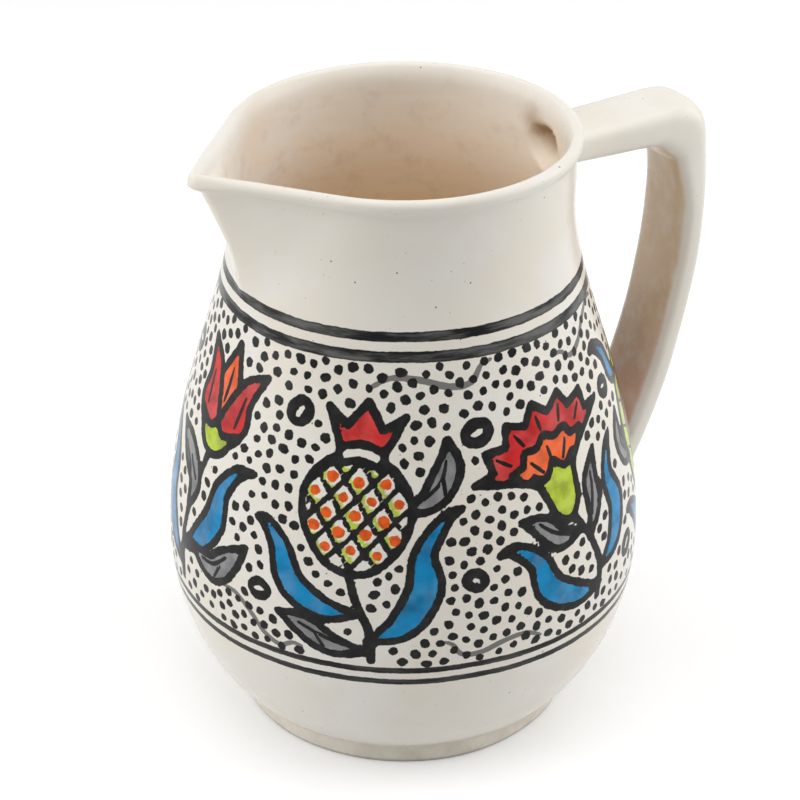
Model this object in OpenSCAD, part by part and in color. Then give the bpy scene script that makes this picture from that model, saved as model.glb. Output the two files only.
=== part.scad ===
// Stoneware jug with a round belly, a drawn-out beak and a strap handle.
// The origin is on the axis of the turned body, in the plane of the foot.
// The handle points along +X and the beak along -X, with +Z up.

/* [Body] */
// Height of the jug from the table to the lip
rim_h = 149; // [125:1:200]
// Outside diameter of the belly at its widest
belly_d = 114.4; // [106:0.2:130]
// Height of the widest place of the belly
belly_z = 44; // [38:0.5:56]
// Outside diameter of the neck at its narrowest
neck_d = 79.3; // [72:0.1:90]
// Depth of the narrowest place of the neck below the rim
neck_drop = 16.5; // [10:0.5:26]
// Outside diameter of the belly where the foot ring begins
base_d = 85.2; // [83:0.1:94]
// Thickness of the wall at the belly
belly_wall = 4; // [3:0.1:5]
// Thickness of the wall at the neck
neck_wall = 2.8; // [2.2:0.1:3.8]
// Thickness of the floor
floor_t = 5; // [3.5:0.1:7]
// Diameter of the flat part of the floor inside
floor_flat_d = 56; // [44:0.5:64]

/* [Lip] */
// Thickness of the rounded lip
lip_t = 3; // [2.4:0.1:3.8]
// How far the lip stands proud of the neck
lip_out = 1.4; // [0.6:0.1:2.4]
// Height over which the neck swells out into the lip
lip_h = 4.8; // [3.4:0.1:6.5]

/* [Foot ring] */
// Outside diameter of the foot ring on the table
foot_d = 80.4; // [70:0.1:82]
// Height of the foot ring
foot_h = 6.5; // [5:0.1:9]
// Width of the foot ring, from its outside to the hollow under the floor
foot_w = 6; // [4:0.1:9]
// Outside diameter of the foot ring at its top
foot_top_d = 81.3; // [78:0.1:82.6]
// Height of the hollow under the floor
recess_h = 4; // [2.5:0.1:4.8]
// Radius of the two worn edges that the ring stands on
foot_edge_r = 0.8; // [0.4:0.1:1.4]

/* [Spout] */
// How far the tip of the beak stands out past the lip
spout_out = 13; // [8:0.5:19]
// Height of the beak, from its lowest point to the rim
spout_h = 33; // [27:0.5:44]
// Radius of the tip of the beak outside
spout_tip_r = 4; // [2.8:0.1:5]
// Radius of the pouring channel at the tip
spout_channel_r = 2; // [1:0.1:2.6]
// How much thicker the lip is at the tip of the beak than beside it
spout_tip_t = 1.6; // [0.5:0.1:2.4]
// How much lower the lip's roll reaches at the tip of the beak than beside it
spout_tip_drop = 1.5; // [0.4:0.1:2]
// Width of neck that comes away with the beak on each side of it
spout_margin = 3; // [2:0.1:5]

/* [Handle] */
// Width of the strap
grip_w = 20; // [15:0.1:26]
// Thickness of the strap
grip_t = 7; // [5:0.1:9]
// Width of the strap at the elbow
elbow_w = 15.6; // [12:0.1:22]
// Thickness of the strap at the elbow
elbow_t = 11; // [7:0.1:11.4]
// Clear gap for the fingers between the neck and the strap
grip_gap = 34; // [26:0.1:42]
// Depth of the arm's middle below the rim, at the neck
arm_drop = 12.8; // [11:0.1:17]
// How much the arm climbs from the neck to the elbow
arm_rise_h = 1.8; // [0:0.1:3]
// Bend radius of the elbow along the middle of the strap
elbow_r = 6.8; // [6:0.1:10]
// Height at which the middle of the strap reaches the belly
root_z = 42; // [34:0.5:60]
// How far inside the skin of the belly the curve of the strap ends
root_sink_t = 1.6; // [0:0.1:3]
// Angle between the lower end of the strap and a plumb line
root_lean = 28.4; // [22:0.1:36]
// Radius of the clay worked round both ends of the strap
root_r = 3; // [1.5:0.1:4]
// Width of the hollow inside the neck, behind the arm
hollow_w = 16; // [10:0.5:18]
// Height of that hollow
hollow_h = 6; // [4:0.1:6.6]
// How far that hollow reaches into the arm
hollow_in_t = 2; // [1:0.1:3]

/* [Hidden] */
$fn = 96;
// Overrun of every cut past the clay
over_t = 2;
// Angle at which the turned clay starts and ends its turn, clear of the beak and the handle
seam_angle = 100;

belly_r = belly_d / 2;
neck_r = neck_d / 2;
base_r = base_d / 2;
neck_z = rim_h - neck_drop;
floor_z = recess_h + floor_t;
lip_r = neck_r + lip_out;

// Directions and pulls of the wall's curves, as shares of the height that each one spans
base_lean = 45;
base_pull_share = 0.53;
belly_low_pull_share = 0.08;
belly_high_pull_share = 0.436;
neck_pull_share = 0.268;
floor_pull_share = 0.4;
belly_in_pull_share = 0.55;
lip_pull_share = 0.5;
// Pulls of the strap's curve, as shares of its height
grip_top_pull_share = 0.06;
grip_low_pull_share = 0.566;

// Numbers of steps on the curves
low_steps = 10;
high_steps = 14;
arc_steps = 8;
lip_steps = 10;
beak_steps = 26;
root_steps = 8;
arm_steps = 5;
elbow_steps = 8;
grip_steps = 10;
turn_steps = 9;
low_root_steps = 12;
strap_sides = 28;
// Squareness of the strap's rounded section, where 2 is an ellipse
strap_power = 3.2;
// Power of the beak's ridge, where 1 is a straight line
ridge_power = 1.15;
// Power that gathers the beak's sections at its ridge
gather_power = 1.6;
// Angle that the beak's sections cover on each side of the ridge
beak_half_angle = 68;
// Angle on each side of the ridge over which the thicker lip of the tip fades out
tip_fade_angle = 14;
// Share of the strap's curve over which it takes its full width below the elbow
elbow_fade_share = 0.4;
// Share of the strap's curve that a change of its direction is measured over
grip_step_share = 0.01;
// Share of its radius at which the clay round a root runs straight into the wall
root_end_share = 0.12;
// Shares of the strap's curve between which its sections turn to lie along the belly
turn_from_share = 0.6;
turn_to_share = 0.92;

function mix(a, b, t) = a + (b - a) * t;
function bezier(a, b, c, d, t) =
    pow(1 - t, 3) * a + 3 * pow(1 - t, 2) * t * b + 3 * (1 - t) * t * t * c + t * t * t * d;
function curve(a, b, c, d, steps) = [for (i = [0:steps]) bezier(a, b, c, d, i / steps)];
function smooth(t) = let (u = max(0, min(1, t))) u * u * (3 - 2 * u);
function without_first(list) = [for (i = [1:len(list) - 1]) list[i]];
function reversed(list) = [for (i = [len(list) - 1:-1:0]) list[i]];
function quarter(centre, rx, rz, from, to, steps) =
    [for (i = [0:steps]) let (a = mix(from, to, i / steps)) centre + [rx * cos(a), rz * sin(a)]];

// The outside of the wall, from the foot ring up to the neck
low_span = belly_z - foot_h;
high_span = neck_z - belly_z;
outer_low = curve(
    [base_r, foot_h],
    [base_r, foot_h] + low_span * base_pull_share * [sin(base_lean), cos(base_lean)],
    [belly_r, belly_z - low_span * belly_low_pull_share],
    [belly_r, belly_z],
    low_steps);
outer_high = curve(
    [belly_r, belly_z],
    [belly_r, belly_z + high_span * belly_high_pull_share],
    [neck_r, neck_z - high_span * neck_pull_share],
    [neck_r, neck_z],
    high_steps);

// The inside of the wall, from the floor up to the neck
floor_flat_r = floor_flat_d / 2;
belly_in_r = belly_r - belly_wall;
neck_in_r = neck_r - neck_wall;
inner_low = curve(
    [floor_flat_r, floor_z],
    [floor_flat_r + (belly_z - floor_z) * floor_pull_share, floor_z],
    [belly_in_r, belly_z - (belly_z - floor_z) * belly_in_pull_share],
    [belly_in_r, belly_z],
    low_steps);
inner_high = curve(
    [belly_in_r, belly_z],
    [belly_in_r, belly_z + high_span * belly_high_pull_share],
    [neck_in_r, neck_z - high_span * neck_pull_share],
    [neck_in_r, neck_z],
    high_steps);

// The lip: the neck swells out into it along a soft double curve, and its top is half round
lip_top = [lip_r - lip_t / 2, rim_h - lip_t / 2];
lip_start_z = rim_h - lip_h;
lip_under = curve(
    [neck_r, lip_start_z],
    [neck_r, mix(lip_start_z, lip_top.y, lip_pull_share)],
    [lip_r, mix(lip_top.y, lip_start_z, lip_pull_share)],
    [lip_r, lip_top.y],
    arc_steps);
lip_round = without_first(quarter(lip_top, lip_t / 2, lip_t / 2, 0, 180, lip_steps));
lip_inner = [[neck_in_r, lip_start_z - lip_t / 2]];

// The part of the wall that the beak shares with the neck, from below it, over the lip and down
seat_z = rim_h - spout_h - spout_margin;
row_gap = 2 * high_span / high_steps;
outer_rows = concat([for (p = outer_high) if (p.y > seat_z - row_gap) p], lip_under);
inner_rows = concat(lip_inner, reversed([for (p = inner_high) if (p.y > seat_z - row_gap) p]));

wall_table = [for (p = concat(outer_low, without_first(outer_high), [[neck_r, rim_h]])) [p.y, p.x]];
function wall_r(z) = lookup(z, wall_table);

module turned_solid() {
    rotate(seam_angle)
        rotate_extrude()
            polygon(concat(
                [[0, foot_h]],
                outer_low,
                without_first(outer_high),
                [[neck_r, rim_h], [0, rim_h]]));
}

foot_in_r = foot_d / 2 - foot_w;

module turned_body() {
    rotate(seam_angle)
        rotate_extrude()
            polygon(concat(
                [[0, recess_h], [foot_in_r, recess_h], [foot_in_r, foot_h]],
                outer_low,
                without_first(outer_high),
                lip_under,
                lip_round,
                lip_inner,
                reversed(inner_high),
                without_first(reversed(inner_low)),
                [[0, floor_z]]));
}

// The V of neck that the beak fills, seen from the beak's side. Its top reaches past the lines
// where the beak's sides leave the lip
beak_side_angle = acos((lip_r - spout_tip_r) / (lip_r + spout_out - spout_tip_r));
seat_top_half = lip_r * sin(beak_side_angle) + spout_margin;
seat_low_share = 0.3;

module spout_seat() {
    reach = lip_r + spout_out + over_t;
    rotate([90, 0, -90])
        linear_extrude(height = reach)
            polygon([
                [-seat_top_half * seat_low_share, seat_z],
                [seat_top_half * seat_low_share, seat_z],
                [seat_top_half, rim_h],
                [seat_top_half, rim_h + over_t],
                [-seat_top_half, rim_h + over_t],
                [-seat_top_half, rim_h]]);
}

arm_z = rim_h - arm_drop;

// The rounded hollow pressed through the neck into the end of the arm
module root_hollow() {
    translate([neck_r + hollow_in_t - hollow_h / 2, 0, arm_z])
        rotate([90, 0, 0])
            rotate_extrude()
                polygon([for (i = [0:2 * arc_steps]) let (a = mix(-90, 90, i / (2 * arc_steps)))
                    [hollow_h / 2 * cos(a), hollow_w / 2 * sin(a)]]);
}

module body() {
    color([0.93, 0.91, 0.87])
        difference() {
            turned_body();
            spout_seat();
            root_hollow();
        }
}

module foot_ring() {
    e = foot_edge_r;
    color([0.80, 0.76, 0.69])
        rotate_extrude()
            polygon(concat(
                quarter([foot_in_r + e, e], e, e, 180, 270, arc_steps),
                quarter([foot_d / 2 - e, e], e, e, -90, 0, arc_steps),
                [[foot_top_d / 2, foot_h], [foot_in_r, foot_h]]));
}

// How far the beak stands out from the round neck at a height
function ridge_out(z) =
    spout_out * pow(max(0, (z - rim_h + spout_h) / spout_h), ridge_power);

// Distance from the axis to a wall of radius r at an angle from the ridge. The wall leaves the
// round neck along two tangents, which meet in a tip of radius tip. The inside of the wall stops
// short of the tip by inset
function beak_r(r, z, tip, inset, angle) =
    let (
        centre = r + ridge_out(z) * (1 - inset / spout_out) - tip,
        side = acos(min(1, (r - tip) / centre)),
        tip_angle = atan2(tip * sin(side), centre + tip * cos(side)),
        a = abs(angle))
    a >= side ? r
    : a > tip_angle ? r / cos(side - a)
    : centre * cos(a) + sqrt(max(0, tip * tip - pow(centre * sin(a), 2)));

// How far the lip's roll is drawn down at the tip: not at its top, most where it is widest, and
// not where the lip begins
function lip_depth_share(z) =
    z > lip_top.y ? (rim_h - z) / (rim_h - lip_top.y)
    : max(0, (z - lip_start_z) / (lip_top.y - lip_start_z));
function tip_drop(z, angle) =
    spout_tip_drop * lip_depth_share(z) * smooth(1 - abs(angle) / tip_fade_angle);

module beak_loft() {
    profile = concat(outer_rows, lip_round, inner_rows);
    inner_shares = concat(
        [for (p = outer_rows) 0],
        [for (i = [1:len(lip_round)]) i / len(lip_round)],
        [for (p = inner_rows) 1]);
    rows = len(profile);
    cols = 2 * beak_steps + 1;
    angles = [for (i = [-beak_steps:beak_steps])
        sign(i) * beak_half_angle * pow(abs(i) / beak_steps, gather_power)];
    points = [for (angle = angles) for (k = [0:rows - 1])
        let (
            p = profile[k],
            tip = mix(spout_tip_r, spout_channel_r, inner_shares[k]),
            r = beak_r(p.x, p.y, tip, spout_tip_t * inner_shares[k], angle))
        [-r * cos(angle), -r * sin(angle), p.y - tip_drop(p.y, angle)]];
    sides = [for (c = [0:cols - 2]) for (k = [0:rows - 1])
        let (n = (k + 1) % rows)
        [c * rows + k, c * rows + n, (c + 1) * rows + n, (c + 1) * rows + k]];
    first = [for (k = [rows - 1:-1:0]) k];
    last = [for (k = [0:rows - 1]) (cols - 1) * rows + k];
    polyhedron(points, concat([first, last], sides));
}

module spout() {
    color([0.94, 0.92, 0.88])
        intersection() {
            beak_loft();
            spout_seat();
        }
}

// The middle line of the strap: a straight arm, a tight elbow and a long curve down to the belly
grip_x = neck_r + grip_gap + grip_t / 2;
elbow_z = arm_z + arm_rise_h;
arm_start = [neck_r - grip_t, arm_z];
arm_angle = atan2(arm_rise_h, grip_x - neck_r);
elbow_turn = 90 + arm_angle;
elbow_cut = elbow_r * tan(elbow_turn / 2);
elbow_centre = [grip_x - elbow_r, elbow_z - elbow_cut];
arm_end = elbow_centre + elbow_r * [-sin(arm_angle), cos(arm_angle)];
grip_start = [grip_x, elbow_centre.y];
grip_end = [belly_r - root_sink_t, root_z];
grip_span = grip_start.y - root_z;
grip_dir = [-sin(root_lean), -cos(root_lean)];

// Each place on the middle line is [x, z, angle of the direction, angle square to the section,
// share of the elbow's own width and thickness]
arm_root = grip_w * grip_w / (8 * neck_r);
function arm_place(x) =
    [x, arm_z + (x - neck_r) * tan(arm_angle), arm_angle, arm_angle,
        smooth((x - neck_r) / (arm_end.x - neck_r))];
arm_places = concat(
    [arm_place(arm_start.x)],
    [for (i = [0:root_steps]) arm_place(neck_r + mix(-arm_root, root_r, i / root_steps))],
    [for (i = [1:arm_steps - 1]) arm_place(mix(neck_r + root_r, arm_end.x, i / arm_steps))]);
elbow_places = [for (i = [0:elbow_steps - 1])
    let (a = mix(arm_angle, -90, i / elbow_steps))
    concat(elbow_centre + elbow_r * [-sin(a), cos(a)], [a, a, 1])];
function grip_point(t) = bezier(
    grip_start,
    grip_start - [0, grip_span * grip_top_pull_share],
    grip_end - grip_span * grip_low_pull_share * grip_dir,
    grip_end,
    t);
function grip_angle(t) =
    let (d = grip_point(min(1, t + grip_step_share)) - grip_point(max(0, t - grip_step_share)))
    atan2(d.y, d.x);
grip_shares = concat(
    [for (i = [0:grip_steps - 1]) turn_from_share * i / grip_steps],
    [for (i = [0:turn_steps - 1]) mix(turn_from_share, turn_to_share, i / turn_steps)],
    [for (i = [0:low_root_steps]) mix(turn_to_share, 1, i / low_root_steps)]);
function section_angle(t) =
    mix(grip_angle(t), -180, smooth((t - turn_from_share) / (turn_to_share - turn_from_share)));
function elbow_share(t) = 1 - smooth(t / elbow_fade_share);
grip_places = [for (t = grip_shares)
    concat(grip_point(t), [grip_angle(t), section_angle(t), elbow_share(t)])];
tail_places = [concat(grip_end + grip_dir * grip_t / 2, [atan2(grip_dir.y, grip_dir.x), -180, 0])];
strap_places = concat(arm_places, elbow_places, grip_places, tail_places);

// How far the clay round a root spreads at a distance from the wall: a hollow quarter round, which
// ends in a straight slope
function root_arc(share) = 1 - sqrt(1 - pow(1 - min(1, share), 2));
root_slope = (1 - root_end_share) / sqrt(1 - pow(1 - root_end_share, 2));
function root_spread(gap) =
    let (share = gap / root_r)
    root_r * (share > root_end_share ? root_arc(share)
        : root_arc(root_end_share) + root_slope * min(2 * root_end_share, root_end_share - share));

// A corner of the strap's section, spread along the wall where it nears it
function strap_point(place, a) =
    let (
        u = sign(cos(a)) * pow(abs(cos(a)), 2 / strap_power),
        v = sign(sin(a)) * pow(abs(sin(a)), 2 / strap_power),
        w = mix(grip_w, elbow_w, place[4]),
        t = mix(grip_t, elbow_t, place[4]),
        slant = [-sin(place[3]), 0, cos(place[3])] / cos(place[3] - place[2]),
        p = [place[0], 0, place[1]] + slant * v * t / 2 + [0, u * w / 2, 0],
        out = [-sin(place[2]) * v, u, cos(place[2]) * v],
        far = norm([p.x, p.y]),
        radial = [p.x, p.y, 0] / far,
        along = (out - (out * radial) * radial) / norm(out))
    p + along * root_spread(far - wall_r(p.z));

module strap_sweep() {
    rings = len(strap_places);
    last_ring = (rings - 1) * strap_sides;
    points = concat(
        [for (place = strap_places) for (k = [0:strap_sides - 1])
            strap_point(place, 360 * k / strap_sides)],
        [for (place = [strap_places[0], strap_places[rings - 1]]) [place[0], 0, place[1]]]);
    first_cap = len(points) - 2;
    last_cap = len(points) - 1;
    sides = [for (c = [0:rings - 2]) for (k = [0:strap_sides - 1])
        let (a = c * strap_sides + k, b = c * strap_sides + (k + 1) % strap_sides)
        each [[a, b + strap_sides, b], [a, a + strap_sides, b + strap_sides]]];
    caps = [for (k = [0:strap_sides - 1])
        let (n = (k + 1) % strap_sides)
        each [[k, n, first_cap], [last_ring + n, last_ring + k, last_cap]]];
    polyhedron(points, concat(sides, caps));
}

module handle() {
    color([0.92, 0.90, 0.86])
        difference() {
            difference() {
                strap_sweep();
                turned_solid();
            }
            root_hollow();
        }
}

body();
foot_ring();
spout();
handle();
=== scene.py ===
"""Builds the looks of a hand-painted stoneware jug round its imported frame.

Lengths are in metres, except the painting's own strokes, which are drawn in millimetres.
"""
import math

import bmesh
import bpy
import numpy as np
from bpy.props import FloatProperty, FloatVectorProperty, IntProperty, PointerProperty
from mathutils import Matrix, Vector, kdtree, noise


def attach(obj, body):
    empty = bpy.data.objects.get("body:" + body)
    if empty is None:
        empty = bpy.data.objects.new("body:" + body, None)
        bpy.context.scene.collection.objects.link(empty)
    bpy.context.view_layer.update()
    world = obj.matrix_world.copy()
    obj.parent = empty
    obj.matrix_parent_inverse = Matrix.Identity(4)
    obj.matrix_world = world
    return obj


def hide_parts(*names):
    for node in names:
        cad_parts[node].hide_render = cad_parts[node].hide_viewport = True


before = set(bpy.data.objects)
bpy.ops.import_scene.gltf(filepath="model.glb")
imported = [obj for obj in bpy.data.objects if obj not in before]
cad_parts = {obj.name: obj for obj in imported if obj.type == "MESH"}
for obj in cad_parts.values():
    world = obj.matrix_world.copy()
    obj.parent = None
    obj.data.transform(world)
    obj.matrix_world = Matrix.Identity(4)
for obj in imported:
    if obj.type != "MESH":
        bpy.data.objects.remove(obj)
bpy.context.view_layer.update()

bl_info = {
    "name": "Painted Stoneware Jug",
    "version": (1, 0, 0),
    "blender": (4, 5, 0),
    "location": "View3D > Sidebar > Jug",
    "description": "Builds a hand-painted stoneware jug with a beak and a strap handle",
    "category": "Add Mesh",
}

BODY = "root"
MM = 0.001
# The gap, in millimetres or in half widths of a dot, that is stored where no brushed line is near
FAR = 4.0


def size(name, description, default):
    """A length that a user may change."""
    return FloatProperty(name=name, description=description, default=default, min=0.0, unit='LENGTH')


def tint(name, description, default):
    """A colour that a user may change."""
    return FloatVectorProperty(
        name=name, description=description, default=default, size=3, min=0.0, max=1.0, subtype='COLOR')


def share(name, description, default):
    """A plain number that a user may change."""
    return FloatProperty(name=name, description=description, default=default)


class JugShape(bpy.types.PropertyGroup):
    """Sizes of the clay, as in the part's source."""
    rim_h: size("Height", "Height of the jug to the lip", 0.149)
    belly_d: size("Belly", "Outside diameter of the belly", 0.1144)
    belly_z: size("Belly height", "Height of the widest place of the belly", 0.044)
    neck_d: size("Neck", "Outside diameter of the neck", 0.0793)
    neck_drop: size("Neck drop", "Depth of the narrowest place of the neck below the rim", 0.0165)
    base_d: size("Base", "Outside diameter of the belly above the foot ring", 0.0852)
    belly_wall: size("Belly wall", "Thickness of the wall at the belly", 0.004)
    neck_wall: size("Neck wall", "Thickness of the wall at the neck", 0.0028)
    floor_t: size("Floor", "Thickness of the floor", 0.005)
    floor_flat_d: size("Flat floor", "Diameter of the flat part of the floor", 0.056)
    lip_t: size("Lip", "Thickness of the rounded lip", 0.003)
    lip_out: size("Lip swell", "How far the lip stands proud of the neck", 0.0014)
    lip_h: size("Lip height", "Height over which the neck swells out into the lip", 0.0048)
    foot_d: size("Foot", "Outside diameter of the foot ring on the table", 0.0804)
    foot_top_d: size("Foot top", "Outside diameter of the foot ring at its top", 0.0813)
    foot_h: size("Foot height", "Height of the foot ring", 0.0065)
    foot_w: size("Foot width", "Width of the foot ring", 0.006)
    foot_edge_r: size("Foot edge", "Radius of the worn edges of the foot ring", 0.0008)
    recess_h: size("Recess", "Height of the hollow under the floor", 0.004)
    spout_out: size("Beak reach", "How far the beak stands out past the lip", 0.013)
    spout_h: size("Beak height", "Height of the beak", 0.033)
    spout_tip_r: size("Beak tip", "Radius of the tip of the beak outside", 0.004)
    spout_channel_r: size("Channel", "Radius of the pouring channel at the tip", 0.002)
    spout_tip_t: size("Tip thickness", "How much thicker the lip is at the tip of the beak", 0.0016)
    spout_tip_drop: size("Tip depth", "How much lower the lip's roll reaches at the tip", 0.0015)
    spout_margin: size("Beak margin", "Width of neck beside the beak that belongs to its piece", 0.003)
    grip_w: size("Strap width", "Width of the strap", 0.0203)
    grip_t: size("Strap thickness", "Thickness of the strap", 0.0068)
    arm_w: size("Arm width", "Width of the arm at the neck", 0.0172)
    arm_t: size("Arm thickness", "Thickness of the arm at the neck", 0.0084)
    elbow_w: size("Elbow width", "Width of the strap at the elbow", 0.0176)
    elbow_t: size("Elbow thickness", "Thickness of the strap at the elbow", 0.0096)
    grip_gap: size("Finger gap", "Clear gap between the neck and the strap", 0.034)
    arm_drop: size("Arm drop", "Depth of the arm's middle below the rim", 0.0119)
    arm_rise_h: size("Arm rise", "How much the arm climbs to the elbow", 0.0005)
    elbow_r: size("Elbow", "Bend radius of the elbow", 0.0105)
    root_z: size("Root height", "Height at which the strap reaches the belly", 0.042)
    root_sink_t: size("Root sink", "How far inside the belly the strap's curve ends", 0.0016)
    root_r: size("Root radius", "Radius of the clay worked round the roots", 0.003)
    hollow_w: size("Hollow width", "Width of the hollow behind the arm", 0.0150)
    hollow_h: size("Hollow height", "Height of the hollow behind the arm", 0.0100)
    hollow_in_t: size("Hollow depth", "How far the hollow reaches into the arm", 0.002)
    root_lean: FloatProperty(
        name="Root lean", description="Angle between the strap's lower end and a plumb line",
        default=math.radians(28.4), unit='ROTATION')
    waver_seed: IntProperty(
        name="Waver seed", description="Start of the strap's slight waver", default=3, min=1)


class JugPainting(bpy.types.PropertyGroup):
    """Brushwork under the glaze."""
    outline_w: size("Outline", "Width of the brushed outlines", 0.0020)
    upper_edge_z: size("Upper bands", "Height of the upper edge of the upper pair of bands", 0.1184)
    upper_line_w: size("Upper first band", "Width of the upper pair's first band", 0.0023)
    upper_gap: size("Upper gap", "Gap between the upper bands", 0.0021)
    upper_second_w: size("Upper second band", "Width of the upper pair's second band", 0.0025)
    lower_edge_z: size("Lower bands", "Height of the lower edge of the lower pair of bands", 0.0351)
    lower_line_w: size("Lower bands' width", "Width of each of the lower bands", 0.00165)
    lower_gap: size("Lower gap", "Gap between the lower bands", 0.0017)
    dot_d: size("Dots", "Mean diameter of the brushed dots", 0.0022)
    dot_step: size("Dot spacing", "Least distance between two dots", 0.0026)
    dot_clear: size("Dot clearance", "Least distance from a dot's middle to a painted line", 0.0016)
    seed: IntProperty(name="Seed", description="Start of the random places of the dots", default=11)
    red: tint("Red", "Red of the petals", (0.58, 0.020, 0.020))
    blue: tint("Blue", "Blue of the long leaves", (0.0, 0.22, 0.47))
    orange: tint("Orange", "Orange of petals and spots", (0.83, 0.12, 0.015))
    lime: tint("Lime", "Yellow green of cups and cells", (0.45, 0.57, 0.04))
    grey: tint("Grey", "Thin grey wash of the small leaves", (0.24, 0.24, 0.245))
    ink: tint("Ink", "Black of the lines where the brush was full", (0.008, 0.008, 0.008))
    thin_ink: tint("Thin ink", "Black of the lines where the brush ran dry", (0.021, 0.020, 0.020))
    band_grey: tint("Band grey", "Grey of the bands where the brush ran dry", (0.130, 0.128, 0.125))


class JugFinish(bpy.types.PropertyGroup):
    """Colours of the glaze and the clay."""
    cream: tint("Cream", "Cream slip under the clear glaze", (0.795, 0.762, 0.69))
    warm_cream: tint("Warm cream", "Cream where the glaze lies thicker", (0.785, 0.733, 0.645))
    cool_cream: tint("Cool cream", "Cream where the slip lies thicker", (0.80, 0.775, 0.73))
    # The lining's colours are tan glaze painted lighter than the cream outside, as painted light inside the
    # neck.
    lining: tint("Lining", "Tan of the glaze deep inside", (0.975, 0.79, 0.58))
    pale_lining: tint("Pale lining", "Glaze inside the neck", (0.96, 0.90, 0.82))
    # Brown of glaze pooled in the hollow; in the hollow it is also painted shade of the recess.
    stain_and_shade: tint("Stain", "Brown of the glaze where it pools in the hollow", (0.42, 0.25, 0.12))
    # The tans on the strap's inner side, which faces the neck, are partly glaze colour and partly painted
    # shade, darker lower down.
    tan: tint("Tan", "Tan of the glaze on the strap's inner side", (0.71, 0.555, 0.39))
    shaded_dark_tan: tint("Dark tan", "Tan of the strap's inner side lower down", (0.46, 0.335, 0.235))
    rosy_tan: tint("Rosy tan", "Tan of the strap's inner side at its lower root", (0.68, 0.46, 0.34))
    speck: tint("Speck", "Iron specks in the glaze", (0.10, 0.065, 0.04))
    # The clay colours are painted lighter than the fired clay, as painted light bounced from the floor; a
    # third of the dark clay gives the painted contact shade at the foot's bottom edge.
    clay: tint("Clay", "Bare fired clay", (0.92, 0.86, 0.76))
    clay_dark: tint("Dark clay", "Bare clay where it is stained", (0.80, 0.735, 0.63))
    gloss: share("Roughness", "Roughness of the glaze", 0.17)


class JugStage(bpy.types.PropertyGroup):
    """Camera, floor and light."""
    lens: FloatProperty(name="Lens", description="Focal length of the camera", default=112.59, unit='CAMERA')
    eye: FloatVectorProperty(
        name="Eye", description="Place of the camera", default=(-0.2537, -0.4577, 0.3742), subtype='XYZ')
    aim_z: size("Aim", "Height that the camera aims at", 0.0780)
    shift: share("Shift", "Sideways shift of the camera, as a share of the picture", -0.0039)
    floor_size: size("Floor", "Side of the floor", 6.0)
    floor_tone: tint("Floor colour", "Colour of the floor", (0.80, 0.80, 0.80))


def bezier(a, b, c, d, t):
    """Points on a cubic curve at the shares t."""
    t = np.asarray(t, float)[:, None]
    a, b, c, d = (np.asarray(p, float) for p in (a, b, c, d))
    return (1 - t) ** 3 * a + 3 * (1 - t) ** 2 * t * b + 3 * (1 - t) * t ** 2 * c + t ** 3 * d


def clamp(t, low=0.0):
    """A number kept between a lower limit and 1."""
    return min(1.0, max(low, t))


def smooth(t):
    """Eases from 0 to 1."""
    t = clamp(t)
    return t * t * (3 - 2 * t)


def arc(centre, r, start, end, steps):
    """Points on an arc, with its angles in degrees."""
    a = np.radians(np.linspace(start, end, steps + 1))
    return np.stack([centre[0] + r * np.cos(a), centre[1] + r * np.sin(a)], 1)


def toward(angle):
    """A flat direction at an angle."""
    return np.array([math.cos(angle), math.sin(angle)])


def left_of(way):
    """A flat direction a quarter turn to the left."""
    return np.array([-way[1], way[0]])


def run_of(line):
    """How far along a line each of its points lies."""
    return np.concatenate([[0], np.cumsum(np.hypot(*np.diff(line, axis=0).T))])


def at_run(places, run, line):
    """The points of a line at places along it."""
    return np.stack([np.interp(places, run, line[:, k]) for k in (0, 1)], -1)


def evenly(line, spacing):
    """A line's points, placed anew at about the same spacing."""
    run = run_of(line)
    return at_run(np.linspace(0, run[-1], max(1, round(run[-1] / spacing)) + 1), run, line)


def at_radius(point, r):
    """A point moved to a distance from the axis."""
    scale = r / math.hypot(point[0], point[1])
    return np.array([point[0] * scale, point[1] * scale, point[2]])


def values_of(items, name, width=1, kind=float):
    """One value, or one row of values, of each item of a mesh."""
    values = np.zeros(len(items) * width, kind)
    items.foreach_get(name, values)
    return values.reshape(-1, width) if width > 1 else values


def tree_of(points):
    """A tree that finds the nearest of some points."""
    tree = kdtree.KDTree(len(points))
    for k, point in enumerate(points):
        tree.insert(point, k)
    tree.balance()
    return tree


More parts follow.
